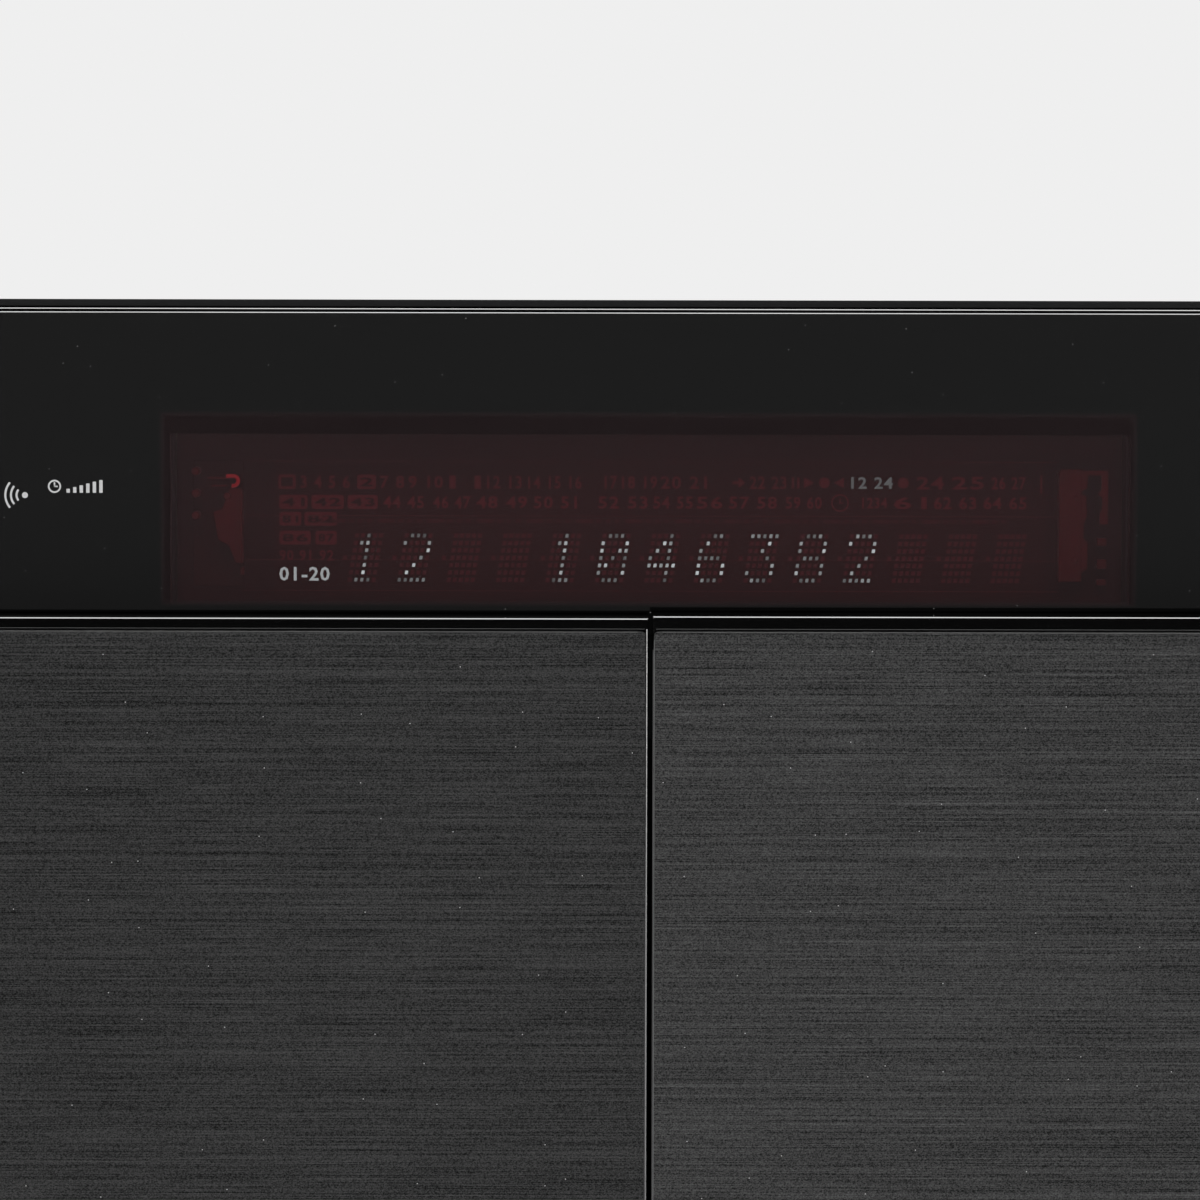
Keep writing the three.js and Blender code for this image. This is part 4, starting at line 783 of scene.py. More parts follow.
def makeLit(lit):
    parts = lit + [(numeralPart(text, x, z), level) for text, x, z, level in symbols["lit"]]
    values = []
    for part, level in parts:
        corners = sum(len(face.verts) for face in part.faces)
        values += [*[level * part for part in tube["litTint"]], 1.0] * corners
    piece = addPiece("tube_lit_segments", [part for part, level in parts], litPaint())
    glow = piece.data.color_attributes.new("glow", "FLOAT_COLOR", "CORNER")
    glow.data.foreach_set("color", values)


# Filament supports: places given, on the base plate's front face
supports = {
    "wedge": [(-51.55, 171.1), (-53.0, 171.2), (-54.1, 168.5), (-55.2, 168.2), (-54.6, 164.6),
              (-53.2, 163.9), (-52.4, 161.7), (-51.55, 161.7)],
    "tall": [(51.75, 159.5), (54.65, 159.5), (54.65, 173.8), (52.0, 173.8), (51.75, 173.3)],
    "upper": [(54.6, 173.6), (57.95, 173.6), (57.95, 166.8), (56.9, 166.8), (56.9, 168.3), (57.2, 168.6),
              (57.2, 170.2), (56.6, 170.6), (57.1, 171.2), (57.1, 173.0), (55.4, 173.0), (55.3, 171.3),
              (54.6, 171.0)],
    "lower": [(54.6, 170.6), (55.2, 170.4), (55.3, 167.8), (54.9, 166.8), (54.9, 165.0), (55.4, 164.6),
              (55.4, 161.2), (54.6, 160.6)],
    "left": {"sheets": [("wedge", (-134.0, -133.7), 0.08)],
             "blocks": [((-51.75, -51.5), (-134.4, -131.5), (161.7, 170.8), 0.06),
                        ((-55.9, -53.0), (-134.3, -133.9), (172.35, 172.6), 0.08),
                        ((-55.4, -53.4), (-134.2, -133.9), (171.35, 171.6), 0.08),
                        ((-51.9, -51.4), (-132.8, -131.5), (160.1, 161.1), 0.1)],
             "spots": [(-57.4, -134.2, 173.3, 0.55), (-57.4, -134.2, 170.5, 0.55),
                       (-57.4, -134.2, 167.7, 0.55), (-53.4, -134.3, 170.2, 0.48)]},
    "right": {"sheets": [("tall", (-134.2, -133.8), 0.1), ("upper", (-134.2, -133.8), 0.05),
                         ("lower", (-134.2, -133.8), 0.05)],
              "blocks": [((51.75, 52.0), (-134.5, -131.5), (159.5, 173.2), 0.06),
                         ((56.7, 57.95), (-133.0, -131.5), (164.0, 165.0), 0.12),
                         ((56.7, 57.95), (-133.0, -131.5), (161.1, 162.3), 0.12),
                         ((56.7, 57.95), (-133.0, -131.5), (159.0, 159.7), 0.12)],
              "spots": [(53.9, -134.3, 170.2, 0.3), (53.8, -134.3, 162.3, 0.4)]},
    "backing": ((-57.9, -51.5), (-131.8, -131.4), (158.6, 174.6), 0.1),
    "hook": {"x": -52.6, "z": 172.1, "bend": 0.62, "start": -53.5, "y": -134.4, "radius": 0.24},
}


def supportParts(side):
    made = supports[side]
    parts = [sheetPart(supports[outline], y, edge, 1) for outline, y, edge in made["sheets"]]
    parts += [blockPart(*block) for block in made["blocks"]]
    for x, y, z, radius in made["spots"]:
        profile = [(0, 0.25), (radius * 0.8, 0.2), (radius, 0), (radius, -2.6), (0, -2.6)]
        parts.append(turnedPart(profile, (x, y, z), "front", 16))
    return parts


def getterHook():
    hook = supports["hook"]
    arc = arcPoints(hook["x"], hook["z"], hook["bend"], 90, -110, 12)
    start = (hook["start"], hook["z"] + hook["bend"])
    return rodPart([(x, hook["y"], z) for x, z in [start] + arc], hook["radius"])


def makeTube():
    x, y, z = limits("display_tube_glass")
    shell = blockPart(x, y, z, tube["glassCorner"], 3)
    addPiece("tube_glass_cover", [shell], glassPaint(), "housing", ["display_tube_glass"])
    x, y, z = limits("display_tube_base")
    plate = blockPart(x, (tubeFront - tube["baseLift"], y[1]), z, 0.15, 1)
    paint = tubePaint("tube_base_plate", tube["plate"], 0.45)
    addPiece("tube_base_plate", [plate], paint, "housing", ["display_tube_base"])
    ground = blockPart(tube["groundX"], (tubeFront - tube["thick"] * 0.3, tubeFront), tube["groundZ"])
    addPiece("tube_anode_ground", [ground], tubePaint("tube_anode_ground", tube["ground"], 0.5))
    dark, lit = makeMatrix()
    light, cover, faint = makeIcons()
    addPiece("tube_unlit_dots", dark, tubePaint("unlit_segment", tube["unlit"], 0.6))
    addPiece("tube_icon_marks", light, tubePaint("icon_segment", tube["icon"], 0.6))
    addPiece("tube_faint_marks", faint, tubePaint("faint_segment", tube["faint"], 0.6))
    addPiece("tube_icon_cutouts", cover, tubePaint("icon_cutout", tube["ground"], 0.5))
    makeLit(lit)
    steel = tubePaint("tube_support_steel", tube["steel"], 0.35, 0.3)
    addPiece("tube_support_left", supportParts("left"), steel)
    back = blockPart(*supports["backing"])
    addPiece("tube_support_backing", [back], tubePaint("support_backing", tube["ground"], 0.5))
    addPiece("tube_support_right", supportParts("right"), steel)
    addPiece("tube_getter_hook", [getterHook()], tubePaint("getter_metal", tube["getter"], 0.3))
    wires = [rodPart([(x, -133.4, z) for x in tube["wireX"]], 0.03, 6) for z in tube["wireZ"]]
    addPiece("tube_filament_wires", wires, steel)


# Small printing on the band: a receiver mark and a clock mark with a rising scale
bandPrint = {
    "thick": 0.03, "sensor": (-78.2, 170.5), "sensorDot": 0.38, "clock": (-74.5, 171.6),
    "waves": {"arcs": [(0, radius, 0.26, 140, 220, 16) for radius in (1.05, 1.75, 2.45)]},
    "dial": {"rings": [(0.616, 0.824)], "bars": [(-0.09, 0.09, -0.08, 0.5), (-0.09, 0.42, -0.1, 0.08)]},
    "scale": {"bars": [(1.5 + 0.82 * i, 1.92 + 0.82 * i, -0.8, 0.22 * i - 0.3) for i in range(6)]},
}


def makeBandPrint():
    face = limits("display_panel")[1][0]
    y = (face - bandPrint["thick"], face)
    parts = [sheetPart(arcPoints(*bandPrint["sensor"], bandPrint["sensorDot"], 0, 337.5, 15), y)]
    parts += drawMarks(bandPrint["waves"], *bandPrint["sensor"], y)
    for marks in ("dial", "scale"):
        parts += drawMarks(bandPrint[marks], *bandPrint["clock"], y)
    addPiece("band_print", parts, "print")


# Gloss parts: the outer front edge of a copied node becomes a narrow slope that catches the light.
# A door's inner top corner, given by its X, is squared.
trim = {
    "slope": 0.15, "frameSlope": 0.1, "frameLower": 0.16, "square": 1.3, "topZone": 0.8,
    "groove": ((154.54, -0.035), (154.47, -0.008)), "grooveEnds": (1.7, 0.7), "rimFoot": 0.6,
    "plateTop": 0.06, "corner": 0.45, "edge": 0.1, "highlightStripe": 0.12, "plateLift": 0.005, "highlightStripeLift": 0.001,
}
# The left rim's lighter metal is partly a painted highlight, and its line also reflects the side strip. The
# right rim stays gloss.
doors = {
    "left": {"rim": ((-0.52, -0.07), (-0.39, -0.008)), "look": "brightEdgeHighlight", "lower": 0.15, "short": 1.45,
             "plate": "brushedLeftShaded", "inner": -0.62},
    "right": {"rim": ((0.38, -0.06), (0.3, -0.015)), "look": "gloss", "lower": -0.12, "short": 4.0,
              "plate": "brushedRightLit", "inner": 0.42},
}


def edgedCopy(node, wide, margin, lower=0.0, inner=None):
    bm = mergedCopy(node)
    x, y, z = limits(node)
    square = trim["square"]
    for vert in bm.verts:
        spotX, spotY, spotZ = vert.co / mm
        if inner is not None and abs(spotX - inner) < square and spotZ > z[1] - square:
            vert.co.x, vert.co.z = inner * mm, z[1] * mm
    bmesh.ops.remove_doubles(bm, verts=bm.verts, dist=1e-6)
    for vert in bm.verts:
        if vert.co.z / mm > z[1] - trim["topZone"]:
            vert.co.z -= lower * mm

    def outerFront(edge):
        flat = all(abs(vert.co.y / mm - y[0]) < 0.01 for vert in edge.verts)
        spot = (edge.verts[0].co + edge.verts[1].co) / 2 / mm
        insideX = x[0] + margin < spot.x < x[1] - margin
        return flat and not (insideX and z[0] + margin < spot.z < z[1] - lower - margin)

    softEdges(bm, [edge for edge in sharpEdges(bm) if outerFront(edge)], wide, 1)
    return bm


# A bar along X or Z whose front slopes between two lines, given as across and behind the face
def slopedBar(lines, face, deep, span, along):
    bm = bmesh.new()
    near, far = [(across, face + y) for across, y in lines]
    section = (near, far, (far[0], face + deep), (near[0], face + deep))
    rings = []
    for end in span:
        spots = [(across, y, end) if along == "Z" else (end, y, across) for across, y in section]
        rings.append([bm.verts.new([value * mm for value in spot]) for spot in spots])
    for i in range(4):
        j = (i + 1) % 4
        bm.faces.new((rings[0][i], rings[0][j], rings[1][j], rings[1][i]))
    for ring in rings:
        bm.faces.new(ring)
    bmesh.ops.recalc_face_normals(bm, faces=bm.faces)
    return bm


def makeCovers():
    for side, door in doors.items():
        node = f"door_{side}_cover"
        x, y, z = limits(node)
        outer, near = trim["grooveEnds"]
        inner, ends = (x[1], (x[0] + outer, -near)) if side == "left" else (x[0], (near, x[1] - outer))
        rim = slopedBar(door["rim"], y[0], 1, (z[0] + trim["rimFoot"], z[1] - door["short"]), "Z")
        addPiece(f"door_rim_{side}", [rim], door["look"], f"{side}_door")
        parts = [edgedCopy(node, trim["slope"], 0.25, door["lower"], inner),
                 slopedBar(trim["groove"], y[0], 0.5, ends, "X")]
        addPiece(f"gloss_cover_{side}", parts, "gloss", f"{side}_door", [node])
    for node, margin, lower in (("front_frame", 2.2, trim["frameLower"]), ("lower_fascia", 1.7, 0.0)):
        body = edgedCopy(node, trim["frameSlope"], margin, lower)
        addPiece(f"gloss_{node}", [body], "gloss", "housing", [node])
    # Painted shade: the cover's front edge gets a skin in the darker copy of the cover paint
    x, y, z = limits("top_cover")
    lip = blockPart((x[0] + 0.3, x[1] - 0.3), (y[0] - 0.03, y[0] + 0.3), (z[1] - 0.87, z[1] - 0.01), 0.03, 1)
    addPiece("cover_front_lip_shaded", [lip], "lip")


# Brushed plates of the doors: the left in the darker copy and the right in the lighter copy, as painted
# shade and light, with lighter metal stripes on their edges as painted highlights
def makePlates():
    for side in ("right", "left"):
        door = doors[side]
        node = f"door_{side}_plate"
        x, y, z = limits(node)
        x = (door["inner"], x[1]) if side == "right" else (x[0], door["inner"])
        z = (z[0], z[1] - trim["plateTop"])
        part = slabPart(x, (y[0] + trim["plateLift"], y[1]), z, trim["corner"], trim["edge"])
        addPiece(f"brushed_plate_{side}", [part], door["plate"], f"{side}_door", [node])
        # Painted highlights: lighter stripes along the plate's top edge and along the right plate's inner
        # edge
        low = trim["highlightStripe"]
        front = (y[0] + trim["highlightStripeLift"], y[0] + 0.3)
        highlightStripes = [blockPart((x[0] + 1, x[1] - 1), front, (z[1] - low, z[1] + 0.01))]
        if side == "right":
            highlightStripes.append(blockPart((x[0] - 0.01, x[0] + low), front, (z[0] + 1, z[1] - 1)))
        addPiece(f"plate_edge_highlight_{side}", highlightStripes, "plateEdgeHighlight", f"{side}_door")


# Keys and their marks, as outlines round each key's middle
keys = {"flange": 1.0, "corner": 2.0, "flangeCorner": 3.0, "flangeThick": 1.0, "mark": (-0.03, 0.05)}
keyMarks = {
    "play": [[(-1.4, -1.7), (1.8, 0), (-1.4, 1.7)]],
    "stop": [[(-1.3, -1.3), (1.3, -1.3), (1.3, 1.3), (-1.3, 1.3)]],
    "skip": [[(-2.2, -1.4), (0, 0), (-2.2, 1.4)], [(0, -1.4), (2.2, 0), (0, 1.4)],
             [(2.2, -1.4), (2.7, -1.4), (2.7, 1.4), (2.2, 1.4)]],
    "source": [[(-2.4, -0.35), (0.4, -0.35), (0.4, -1.3), (2.4, 0), (0.4, 1.3), (0.4, 0.35),
                (-2.4, 0.35)]],
}


def makeKeys():
    for body, outlines in keyMarks.items():
        node = f"{body}_key"
        x, y, z = limits(node)
        capX, capZ = [(span[0] + keys["flange"], span[1] - keys["flange"]) for span in (x, z)]
        parts = [slabPart(capX, (y[0], y[1] - 0.1), capZ, keys["corner"], 0.5, 3, 5),
                 slabPart(x, (y[1] - keys["flangeThick"], y[1]), z, keys["flangeCorner"], 0.15, 1, 5)]
        addPiece(f"{node}_cap", parts, "gloss", body, [node])
        layer = [y[0] + depth for depth in keys["mark"]]
        shapes = drawMarks({"shapes": outlines}, middle(x), middle(z), layer)
        addPiece(f"{node}_mark", shapes, "print", body)


knob = {
    "grips": 60, "gripDepth": 0.35, "gripStart": 0.9, "capRadius": 9.4, "dish": 0.5, "long": 14,
    "shaft": 3, "dots": 11, "dotReach": 13.6, "dotStep": 27, "dotStart": 225, "scaleDepth": 14.3,
}


def makeKnob():
    x, y, z = limits("volume_knob")
    cx, cz = middle(x), middle(z)
    radius = (x[1] - x[0]) / 2
    front = y[0]
    back = front + knob["long"]
    points = []
    for i in range(2 * knob["grips"]):
        turn = math.pi * i / knob["grips"]
        reach = radius - (i % 2) * knob["gripDepth"]
        points.append((cx + reach * math.cos(turn), cz + reach * math.sin(turn)))
    grip = sheetPart(points, (front + knob["gripStart"], back))
    chamfer = [(0, -0.9), (radius - 0.35, -0.9), (radius - 0.35, -0.7), (radius - 1.1, 0),
               (knob["capRadius"], 0), (knob["capRadius"] - 0.3, -knob["dish"]), (0, -knob["dish"] * 0.6)]
    cap = turnedPart(chamfer, (cx, front, cz), "front", 72)
    end = -(y[1] - back) - 0.1
    rod = [(0, 0), (knob["shaft"], 0), (knob["shaft"], end), (0, end)]
    shaft = turnedPart(rod, (cx, back - 0.05, cz), "front", 32)
    addPiece("volume_knob_grip", [grip, cap, shaft], "brushedRightLit", "volume", ["volume_knob"])
    line = blockPart(around(cx, 0.4), (front - 0.02, front + 0.8), (cz + 5.0, cz + 10.6), 0.02)
    addPiece("volume_knob_line", [line], "print", "volume")
    marks = []
    dot = [(0, 0.03), (0.35, 0.03), (0.35, -0.05), (0, -0.05)]
    for i in range(knob["dots"]):
        turn = math.radians(knob["dotStart"] - knob["dotStep"] * i)
        px, pz = cx + knob["dotReach"] * math.cos(turn), cz + knob["dotReach"] * math.sin(turn)
        marks.append(turnedPart(dot, (px, front + knob["scaleDepth"], pz), "front", 16))
    addPiece("volume_scale", marks, "print")


cradle = {"pins": 15, "first": -9.8, "pitch": 1.4, "half": 0.3, "depth": (-1.12, -0.95), "fall": (6, 3.4)}


def makeCradleContacts():
    x, y, z = limits("dock_cradle")
    across = [middle(y) + offset for offset in cradle["depth"]]
    tall = [z[1] - fall for fall in cradle["fall"]]
    pins = [blockPart(around(cradle["first"] + i * cradle["pitch"], cradle["half"]), across, tall, 0.04)
            for i in range(cradle["pins"])]
    addPiece("cradle_contacts", pins, "gold")


# Lower fascia: tray front, two buttons, sockets and their marks
def makeTrayFront():
    x, y, z = limits("tray_front")
    face = slabPart(x, y, z, 1.5, 0.45, 3)
    groove = blockPart((x[0] + 4, x[1] - 4), (y[0] - 0.02, y[0] + 0.4), (z[0] + 2.6, z[0] + 3.0), 0.02)
    addPiece("tray_front_cap", [face], "gloss", "tray", ["tray_front"])
    addPiece("tray_front_line", [groove], "bright", "tray")


def makeButtons():
    for node, body in (("power_button", "power"), ("tray_button", "tray_switch")):
        x, y, z = limits(node)
        cap = (x[1] - x[0]) / 2 - 1.0
        depth = y[1] - y[0]
        profile = [(0, -0.55), (cap * 0.6, -0.32), (cap - 1.0, 0), (cap - 0.4, -0.05), (cap, -0.5),
                   (cap, -(depth - 1.4)), (cap + 1.0, -(depth - 1.4)), (cap + 1.0, -(depth - 0.4)),
                   (cap, -(depth - 0.4)), (cap, -depth), (0, -depth)]
        turned = turnedPart(profile, (middle(x), y[0], middle(z)), "front", 64)
        addPiece(f"{node}_cap", [turned], "brushedRightLit", body, [node])


fascia = {
    "thick": 0.03, "rise": 2.6, "usbFrame": (1.7, 0.7, 0.2), "pins": 4, "pinPitch": 2.4,
    "ring": [(3.15, 0.25), (2.0, 0.25), (1.85, 0.1), (1.85, -1.0), (3.15, -1.0), (3.15, 0.25)],
}
fasciaMarks = {
    "power_button": {"arcs": [(0, 1.1, 0.26, -240, 60, 20)], "bars": [(-0.13, 0.13, 0.1, 1.5)]},
    "tray_button": {"shapes": [[(-1.5, -0.1), (1.5, -0.1), (0, 1.3)]], "bars": [(-1.5, 1.5, -0.9, -0.45)]},
    "headphone_socket": {"arcs": [(-0.2, 1.2, 0.24, 0, 180, 16)],
                         "bars": [(-1.55, -0.85, -1.1, -0.1), (0.85, 1.55, -1.1, -0.1)]},
    "usb_socket": {"bars": [(-1.0, 1.0, -0.15, 0.15)]},
}


def makeFasciaMarks():
    face = limits("lower_fascia")[1][0]
    y = (face - fascia["thick"], face)
    high = limits("power_button")[2][1] + fascia["rise"]
    parts = []
    for node, marks in fasciaMarks.items():
        parts += drawMarks(marks, middle(limits(node)[0]), high, y)
    head, usb = limits("headphone_socket"), limits("usb_socket")
    wide, tall, wall = fascia["usbFrame"]
    parts.append(framePart(around(middle(usb[0]), wide), y, around(high, tall), wall))
    addPiece("fascia_print", parts, "print")
    ring = turnedPart(fascia["ring"], (middle(head[0]), head[1][0], middle(head[2])), "front", 48)
    addPiece("headphone_ring", [ring], "bright")
    reach = (usb[1][0] + 3.0, usb[1][0] + 9.0)
    level = (usb[2][1] - 5.35, usb[2][1] - 5.2)
    first = middle(usb[0]) - (fascia["pins"] - 1) / 2 * fascia["pinPitch"]
    pins = [blockPart(around(first + i * fascia["pinPitch"], 0.5), reach, level, 0.03)
            for i in range(fascia["pins"])]
    addPiece("usb_contacts", pins, "gold")


# Rear: terminals, sockets, inlet and screws
rear = {
    "collar": [(3.2, 0.0), (4.6, 0.0), (4.6, -1.2), (5.9, -1.6), (5.9, -2.6), (3.2, -2.6), (3.2, 0.0)],
    "barrel": [(1.7, 0.03), (4.15, 0.03), (4.32, -0.15), (4.32, -5.5), (1.7, -5.5), (1.7, 0.03)],
    "pin": [(0, 0.05), (0.9, -0.05), (1.25, -0.6), (1.25, -8.0), (0, -8.0)],
    "sockets": (("left", "white", -18), ("right", "red", 0), ("aerial", "bright", 18)),
    "screws": [(x, z) for x in (-133, -60, 0, 60, 133) for z in (14, 189)] + [(-133, 100), (133, 100)]
    + [(x, z) for x in (-84.5, -35.5) for z in (100.5, 149.5)],
}


def makeRear():
    x, y, z = limits("speaker_terminals")
    for look, height in (("red", 5.0), ("white", -5.0)):
        tabs = [framePart(around(middle(x) + offset, 7.9), (y[1] - 0.4, y[1] + 0.5),
                          around(middle(z) + height, 3.4), 0.9) for offset in (-12, 12)]
        addPiece(f"terminal_collars_{look}", tabs, look)
    x, y, z = limits("input_sockets")
    for name, look, offset in rear["sockets"]:
        for part, depth, paint in (("collar", 4.0, look), ("barrel", 0.0, "bright")):
            spot = (middle(x) + offset, y[1] - depth, middle(z))
            addPiece(f"socket_{part}_{name}", [turnedPart(rear[part], spot, "back", 40)], paint)
    x, y, z = limits("mains_inlet")
    pins = [turnedPart(rear["pin"], (middle(x) + offset, y[1] - 3.0, middle(z)), "back", 24)
            for offset in (-4.3, 4.3)]
    addPiece("inlet_pins", pins, "bright")
    back = limits("rear_panel")[1][1]
    addPiece("rear_screws", [screwPart((x, back, z), "back") for x, z in rear["screws"]], "blackZinc")


# Inside: board parts as middle and size, transformer, lens and screws
board = {
    "cans": ((-112, 62, 12.5, 32), (-84, 62, 12.5, 32), (-58, 60, 8, 20), (-38, 56, 5, 12), (-26, 56, 5, 12),
             (30, 122, 6.3, 15), (46, 122, 6.3, 15), (52, 60, 4, 9), (52, 72, 4, 9)),
    "chips": ((5, 64, 22, 22), (34, 66, 14, 10), (34, 84, 14, 10), (-8, 122, 12, 18)), "seed": 21,
    "small": 36, "smallLong": 1.6, "smallWide": 0.8, "legs": 14, "legPitch": 1.4, "legRow": 12.4,
    "transistors": (-60, -33, -6),
}


def canPart(centre, radius, height):
    profile = [(0, height), (radius - 0.8, height), (radius - 0.2, height - 0.3), (radius, height - 1.0),
               (radius, 3.2), (radius - 0.45, 2.6), (radius, 2.0), (radius, 0), (0, 0)]
    return turnedPart(profile, centre, "Z", 32)


def makeBoardParts():
    top = limits("main_board")[2][1]
    cans = [canPart((cx, cy, top), radius, height) for cx, cy, radius, height in board["cans"]]
    addPiece("board_capacitors", cans, "inner")
    chips = [blockPart(around(cx, wide / 2), around(cy, deep / 2), (top + 0.4, top + 2.2), 0.25, 2)
             for cx, cy, wide, deep in board["chips"]]
    random.seed(board["seed"])
    for i in range(board["small"]):
        cx = -120 + (i % 12) * 9.5 + random.uniform(-1.5, 1.5)
        cy = 113 + (i // 12) * 7 + random.uniform(-1, 1)
        half = (board["smallLong"], board["smallWide"])
        wide, deep = half if i % 3 == 0 else half[::-1]
        chips.append(blockPart(around(cx, wide), around(cy, deep), (top, top + 0.9), 0.15, 1))
    addPiece("board_chips", chips, "black")
    legs = []
    cx, cy = board["chips"][0][:2]
    for i in range(board["legs"]):
        step = cx - 9.1 + i * board["legPitch"]
        for side in (-board["legRow"], board["legRow"]):
            legs.append(blockPart(around(step, 0.25), around(cy + side, 1.5), (top, top + 0.35), 0.05, 1))
    addPiece("board_chip_legs", legs, "bright")
    plugs = [blockPart((-20 + i * 24, -4 + i * 24), (44.5, 50.5), (top, top + 8), 0.5, 2) for i in range(3)]
    addPiece("board_connectors", plugs, "white")
    face = limits("heat_sink")[1][0]
    bodies = [blockPart(around(x, 7.5), (face - 4.6, face), (30, 50), 0.4, 2) for x in board["transistors"]]
    tabs = [screwPart((x, face - 4.6, 44), "front", 2.6, 1.4) for x in board["transistors"]]
    addPiece("sink_transistors", bodies, "inner")
    addPiece("sink_screws", tabs, "bright")


mains = {"sheets": 18, "sheetShare": 0.86, "rows": 20, "rowShare": 0.47, "end": 9.5, "cheek": 1.4}


def makeTransformer():
    x, y, z = limits("power_transformer")
    coreX = (x[0] + 5, x[1] - 5)
    coreY = (y[0] + 8, y[1] - 8)
    step = (coreY[1] - coreY[0]) / mains["sheets"]
    core = []
    for i in range(mains["sheets"]):
        front = coreY[0] + i * step
        core.append(blockPart(coreX, (front, front + step * mains["sheetShare"]), z, 0.12, 1))
    core.append(blockPart(*[(low + 0.3, high - 0.3) for low, high in (coreX, coreY, z)]))
    addPiece("transformer_core", core, "inner", "housing", ["power_transformer"])
    low, high = z[0] + mains["end"], z[1] - mains["end"]
    pitch = (high - low) / mains["rows"]
    windX = (coreX[0] + 8, coreX[1] - 8)
    wind = []
    for i in range(mains["rows"]):
        row = around(low + (i + 0.5) * pitch, pitch * mains["rowShare"])
        wind.append(blockPart(windX, (y[0] + 0.8, y[1] - 0.8), row, pitch * 0.4, 2))
    addPiece("transformer_winding", wind, "copper")
    cheeks = [blockPart(windX, y, (height, height + mains["cheek"]), 0.2, 1)
              for height in (low - mains["cheek"], high)]
    addPiece("transformer_bobbin", cheeks, "nylon")
    foot = [blockPart(x, coreY, (z[0], z[0] + 1.5), 0.3, 1)]
    foot += [screwPart((px, middle(y), z[0] + 1.5), "Z", 1.9, 1.2) for px in (x[0] + 2.4, x[1] - 2.4)]
    addPiece("transformer_bracket", foot, "steel")


# The tray's circles, by their radii round the disc's middle, get more steps
tray = {"middle": 69.5, "radii": (60.5, 41.0, 21.0), "cuts": 5, "edge": 0.2, "near": 0.02}


def makeTray():
    bm = mergedCopy("disc_tray")
    centre = Vector((0, limits("disc_tray")[1][0] + tray["middle"]))

    def arm(vert):
        return vert.co.xy / mm - centre

    def follows(edge, radius):
        first, second = edge.verts
        near = all(abs(arm(vert).length - radius) < tray["near"] for vert in edge.verts)
        return near and abs(first.co.z - second.co.z) < 1e-6

    for radius in tray["radii"]:
        ring = [edge for edge in bm.edges if follows(edge, radius)]
        made = bmesh.ops.subdivide_edges(bm, edges=ring, cuts=tray["cuts"])
        for item in made["geom_inner"]:
            if isinstance(item, bmesh.types.BMVert):
                item.co.xy = (centre + arm(item).normalized() * radius) * mm
    addPiece("disc_tray_plate", [bm], "black", "tray", ["disc_tray"], tray["edge"])


def makeLoaderParts():
    sled, table, clamp, bridge = [limits(node) for node in
                                  ("pickup_sled", "turntable", "clamp_disc", "clamp_bridge")]
    lens = [(0, 0.0), (1.4, -0.15), (2.0, -0.5), (2.2, -0.5), (2.4, -0.2), (3.1, -0.2), (3.15, -2.4),
            (0, -2.4)]
    lens = turnedPart(lens, (0, middle(sled[1]), sled[2][1]), "Z", 40)
    addPiece("pickup_lens", [lens], "lens", "sled")
    grip = [(9.0, 0.03), (14.2, 0.03), (14.2, -0.3), (9.0, -0.3), (9.0, 0.03)]
    grip = turnedPart(grip, (0, middle(table[1]), table[2][1] - 2.0), "Z", 64)
    addPiece("turntable_grip", [grip], "rubber", "platter")
    plate = [(0, 0.0), (7.2, 0.0), (7.6, -0.3), (7.6, -0.9), (0, -0.9)]
    plate = turnedPart(plate, (0, middle(clamp[1]), clamp[2][1] + 0.02), "Z", 48)
    addPiece("clamp_plate", [plate], "steel", "clamp")
    screws = [screwPart((x, y, bridge[2][1]), "Z", 2.4, 1.3) for x in (-71, 71)
              for y in (bridge[1][0] + 5, bridge[1][1] - 5)]
    addPiece("bridge_screws", screws, "bright")


# Camera, lamps and surroundings, in metres
view = {"lens": 144.0, "sensor": 36.0, "away": 0.6, "side": -0.00625, "drop": 0.0375, "roll": 0.12}
lamps = {
    "top_softbox": ((0.0, -0.15, 1.5), (0.0, -0.15, 0.15), (0.8, 1.2), 22.0),
    "front_softbox": ((0.0, -1.5, 1.5), (0.0, -0.15, 0.1), (1.2, 0.6), 14.0),
    "left_fill": ((-1.5, -1.0, 0.8), (0.0, 0.0, 0.1), (0.9, 0.9), 9.0),
    "right_fill": ((1.7, -0.9, 0.7), (0.0, 0.0, 0.1), (0.9, 0.9), 12.0),
    "rear_fill": ((0.3, 1.7, 0.9), (0.0, 0.1, 0.1), (1.2, 0.8), 16.0),
}
backdrop = {"seen": 0.863, "fill": 0.32, "floor": 1.6, "floorFade": (0.8, 1.5), "paper": (0.58, 0.62)}


def facing(direction):
    return Vector(direction).to_track_quat("-Z", "Y").to_matrix().to_4x4()


def makeCamera():
    lens = bpy.data.cameras.new("camera")
    lens.lens = view["lens"]
    lens.sensor_width = view["sensor"]
    lens.clip_start = 0.01
    face = limits("display_panel")[1][0] * mm
    top = limits("top_cover")[2][1] * mm
    spot = Matrix.Translation((view["side"], face - view["away"], top))
    roll = Matrix.Rotation(math.radians(view["roll"]), 4, "Z")
    place = spot @ facing((0, view["away"], -view["drop"])) @ roll
    scene.camera = placed("camera", lens, place)


def makeLamps():
    for name, (spot, aim, size, power) in lamps.items():
        light = bpy.data.lights.new(name, "AREA")
        light.shape = "RECTANGLE"
        light.size, light.size_y = size
        light.energy = power
        placed(name, light, Matrix.Translation(spot) @ facing(Vector(aim) - Vector(spot)))


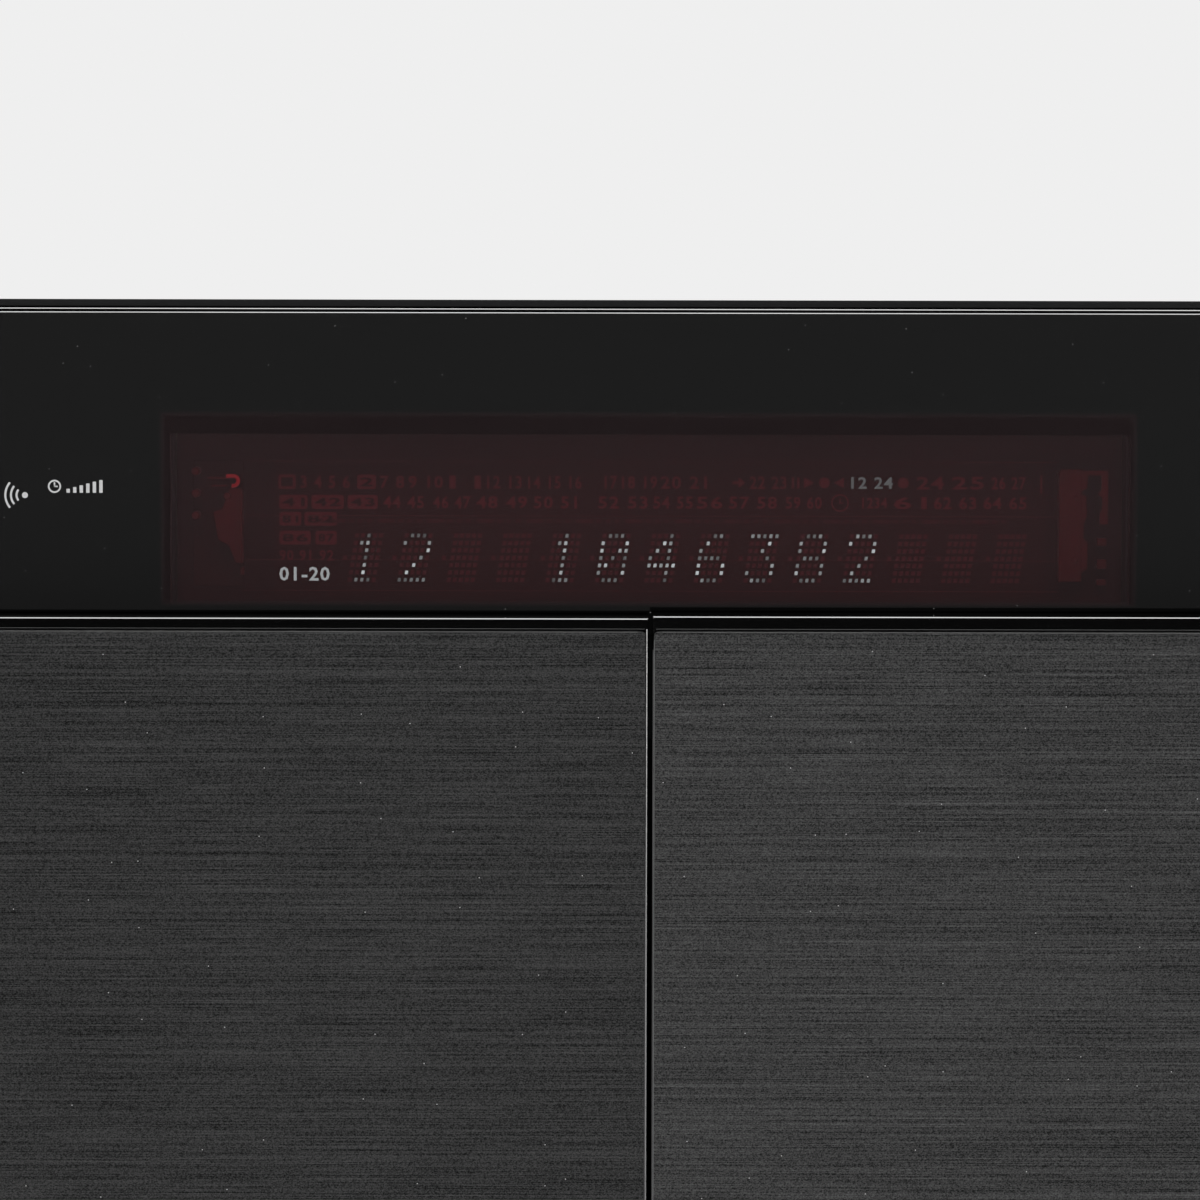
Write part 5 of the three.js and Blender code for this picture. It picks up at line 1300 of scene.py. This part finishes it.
# Surroundings: a plain field for the camera, soft light, and strips that only mirrors show
def makeWorld():
    scene.world = bpy.data.worlds.new("studio")
    shade = Shade(scene.world)
    out = shade.tree.nodes["Background"].inputs
    plain, through, mirror = [shade.node("LightPath", {}, {}, f"Is {kind} Ray")
                              for kind in ("Camera", "Transmission", "Glossy")]
    side, deep, rise = shade.split(shade.node("TexCoord", {}, {}, "Generated"))
    level = rise.size().fade(0.2, 0.4, 1.0, 0.0)
    right = side.fade(0.66, 0.72, 0.0, 5.0) * side.fade(0.92, 0.97, 1.0, 0.0) * level
    left = side.fade(-0.84, -0.78, 1.2, 0.0) * side.fade(-0.97, -0.92, 0.0, 1.0) * level
    ahead = deep.fade(-0.8, 0.4, 0.02, 0.8) + (right + left) * (1 - deep.above(0.0))
    seen = plain.atLeast(through)
    light = mirror * ahead + (1 - mirror) * backdrop["fill"]
    shade.feed(out["Strength"], seen * backdrop["seen"] + (1 - seen) * light)
    shade.feed(out["Color"], grey(1.0))


def makeFloor():
    bm = bmesh.new()
    bmesh.ops.create_circle(bm, cap_ends=True, segments=64, radius=backdrop["floor"])
    mesh = bpy.data.meshes.new("floor")
    bm.to_mesh(mesh)
    bm.free()
    paint = Paint("floor_paper", "matte_black", {"Roughness": 0.9, "Specular IOR Level": 0.1})
    reach = paint.node("VectorMath", {"operation": "LENGTH"}, {0: paint.place()}, "Value")
    low, high = backdrop["paper"]
    paint.put("Base Color", paint.blend(paint.grain(2.5, 3.0), grey(low), grey(high)))
    paint.put("Alpha", reach.fade(*backdrop["floorFade"], 1.0, 0.0))
    mesh.materials.append(paint.material)
    floor = placed("floor", mesh)


stages = {
    "frame nodes dressed": [dressNodes],
    "display band made": [makeBand],
    "display tube made": [makeTube],
    "band printing made": [makeBandPrint],
    "covers and frames made": [makeCovers],
    "door plates made": [makePlates],
    "recess pieces made": [makeKeys, makeKnob, makeCradleContacts],
    "lower fascia pieces made": [makeTrayFront, makeButtons, makeFasciaMarks],
    "rear pieces made": [makeRear],
    "inner pieces made": [makeBoardParts, makeTransformer, makeTray, makeLoaderParts],
    "camera, lamps and floor made": [makeCamera, makeLamps, makeWorld, makeFloor],
}
for stage, steps in stages.items():
    for make in steps:
        make()
    print(stage)

scene.view_settings.view_transform = "Standard"
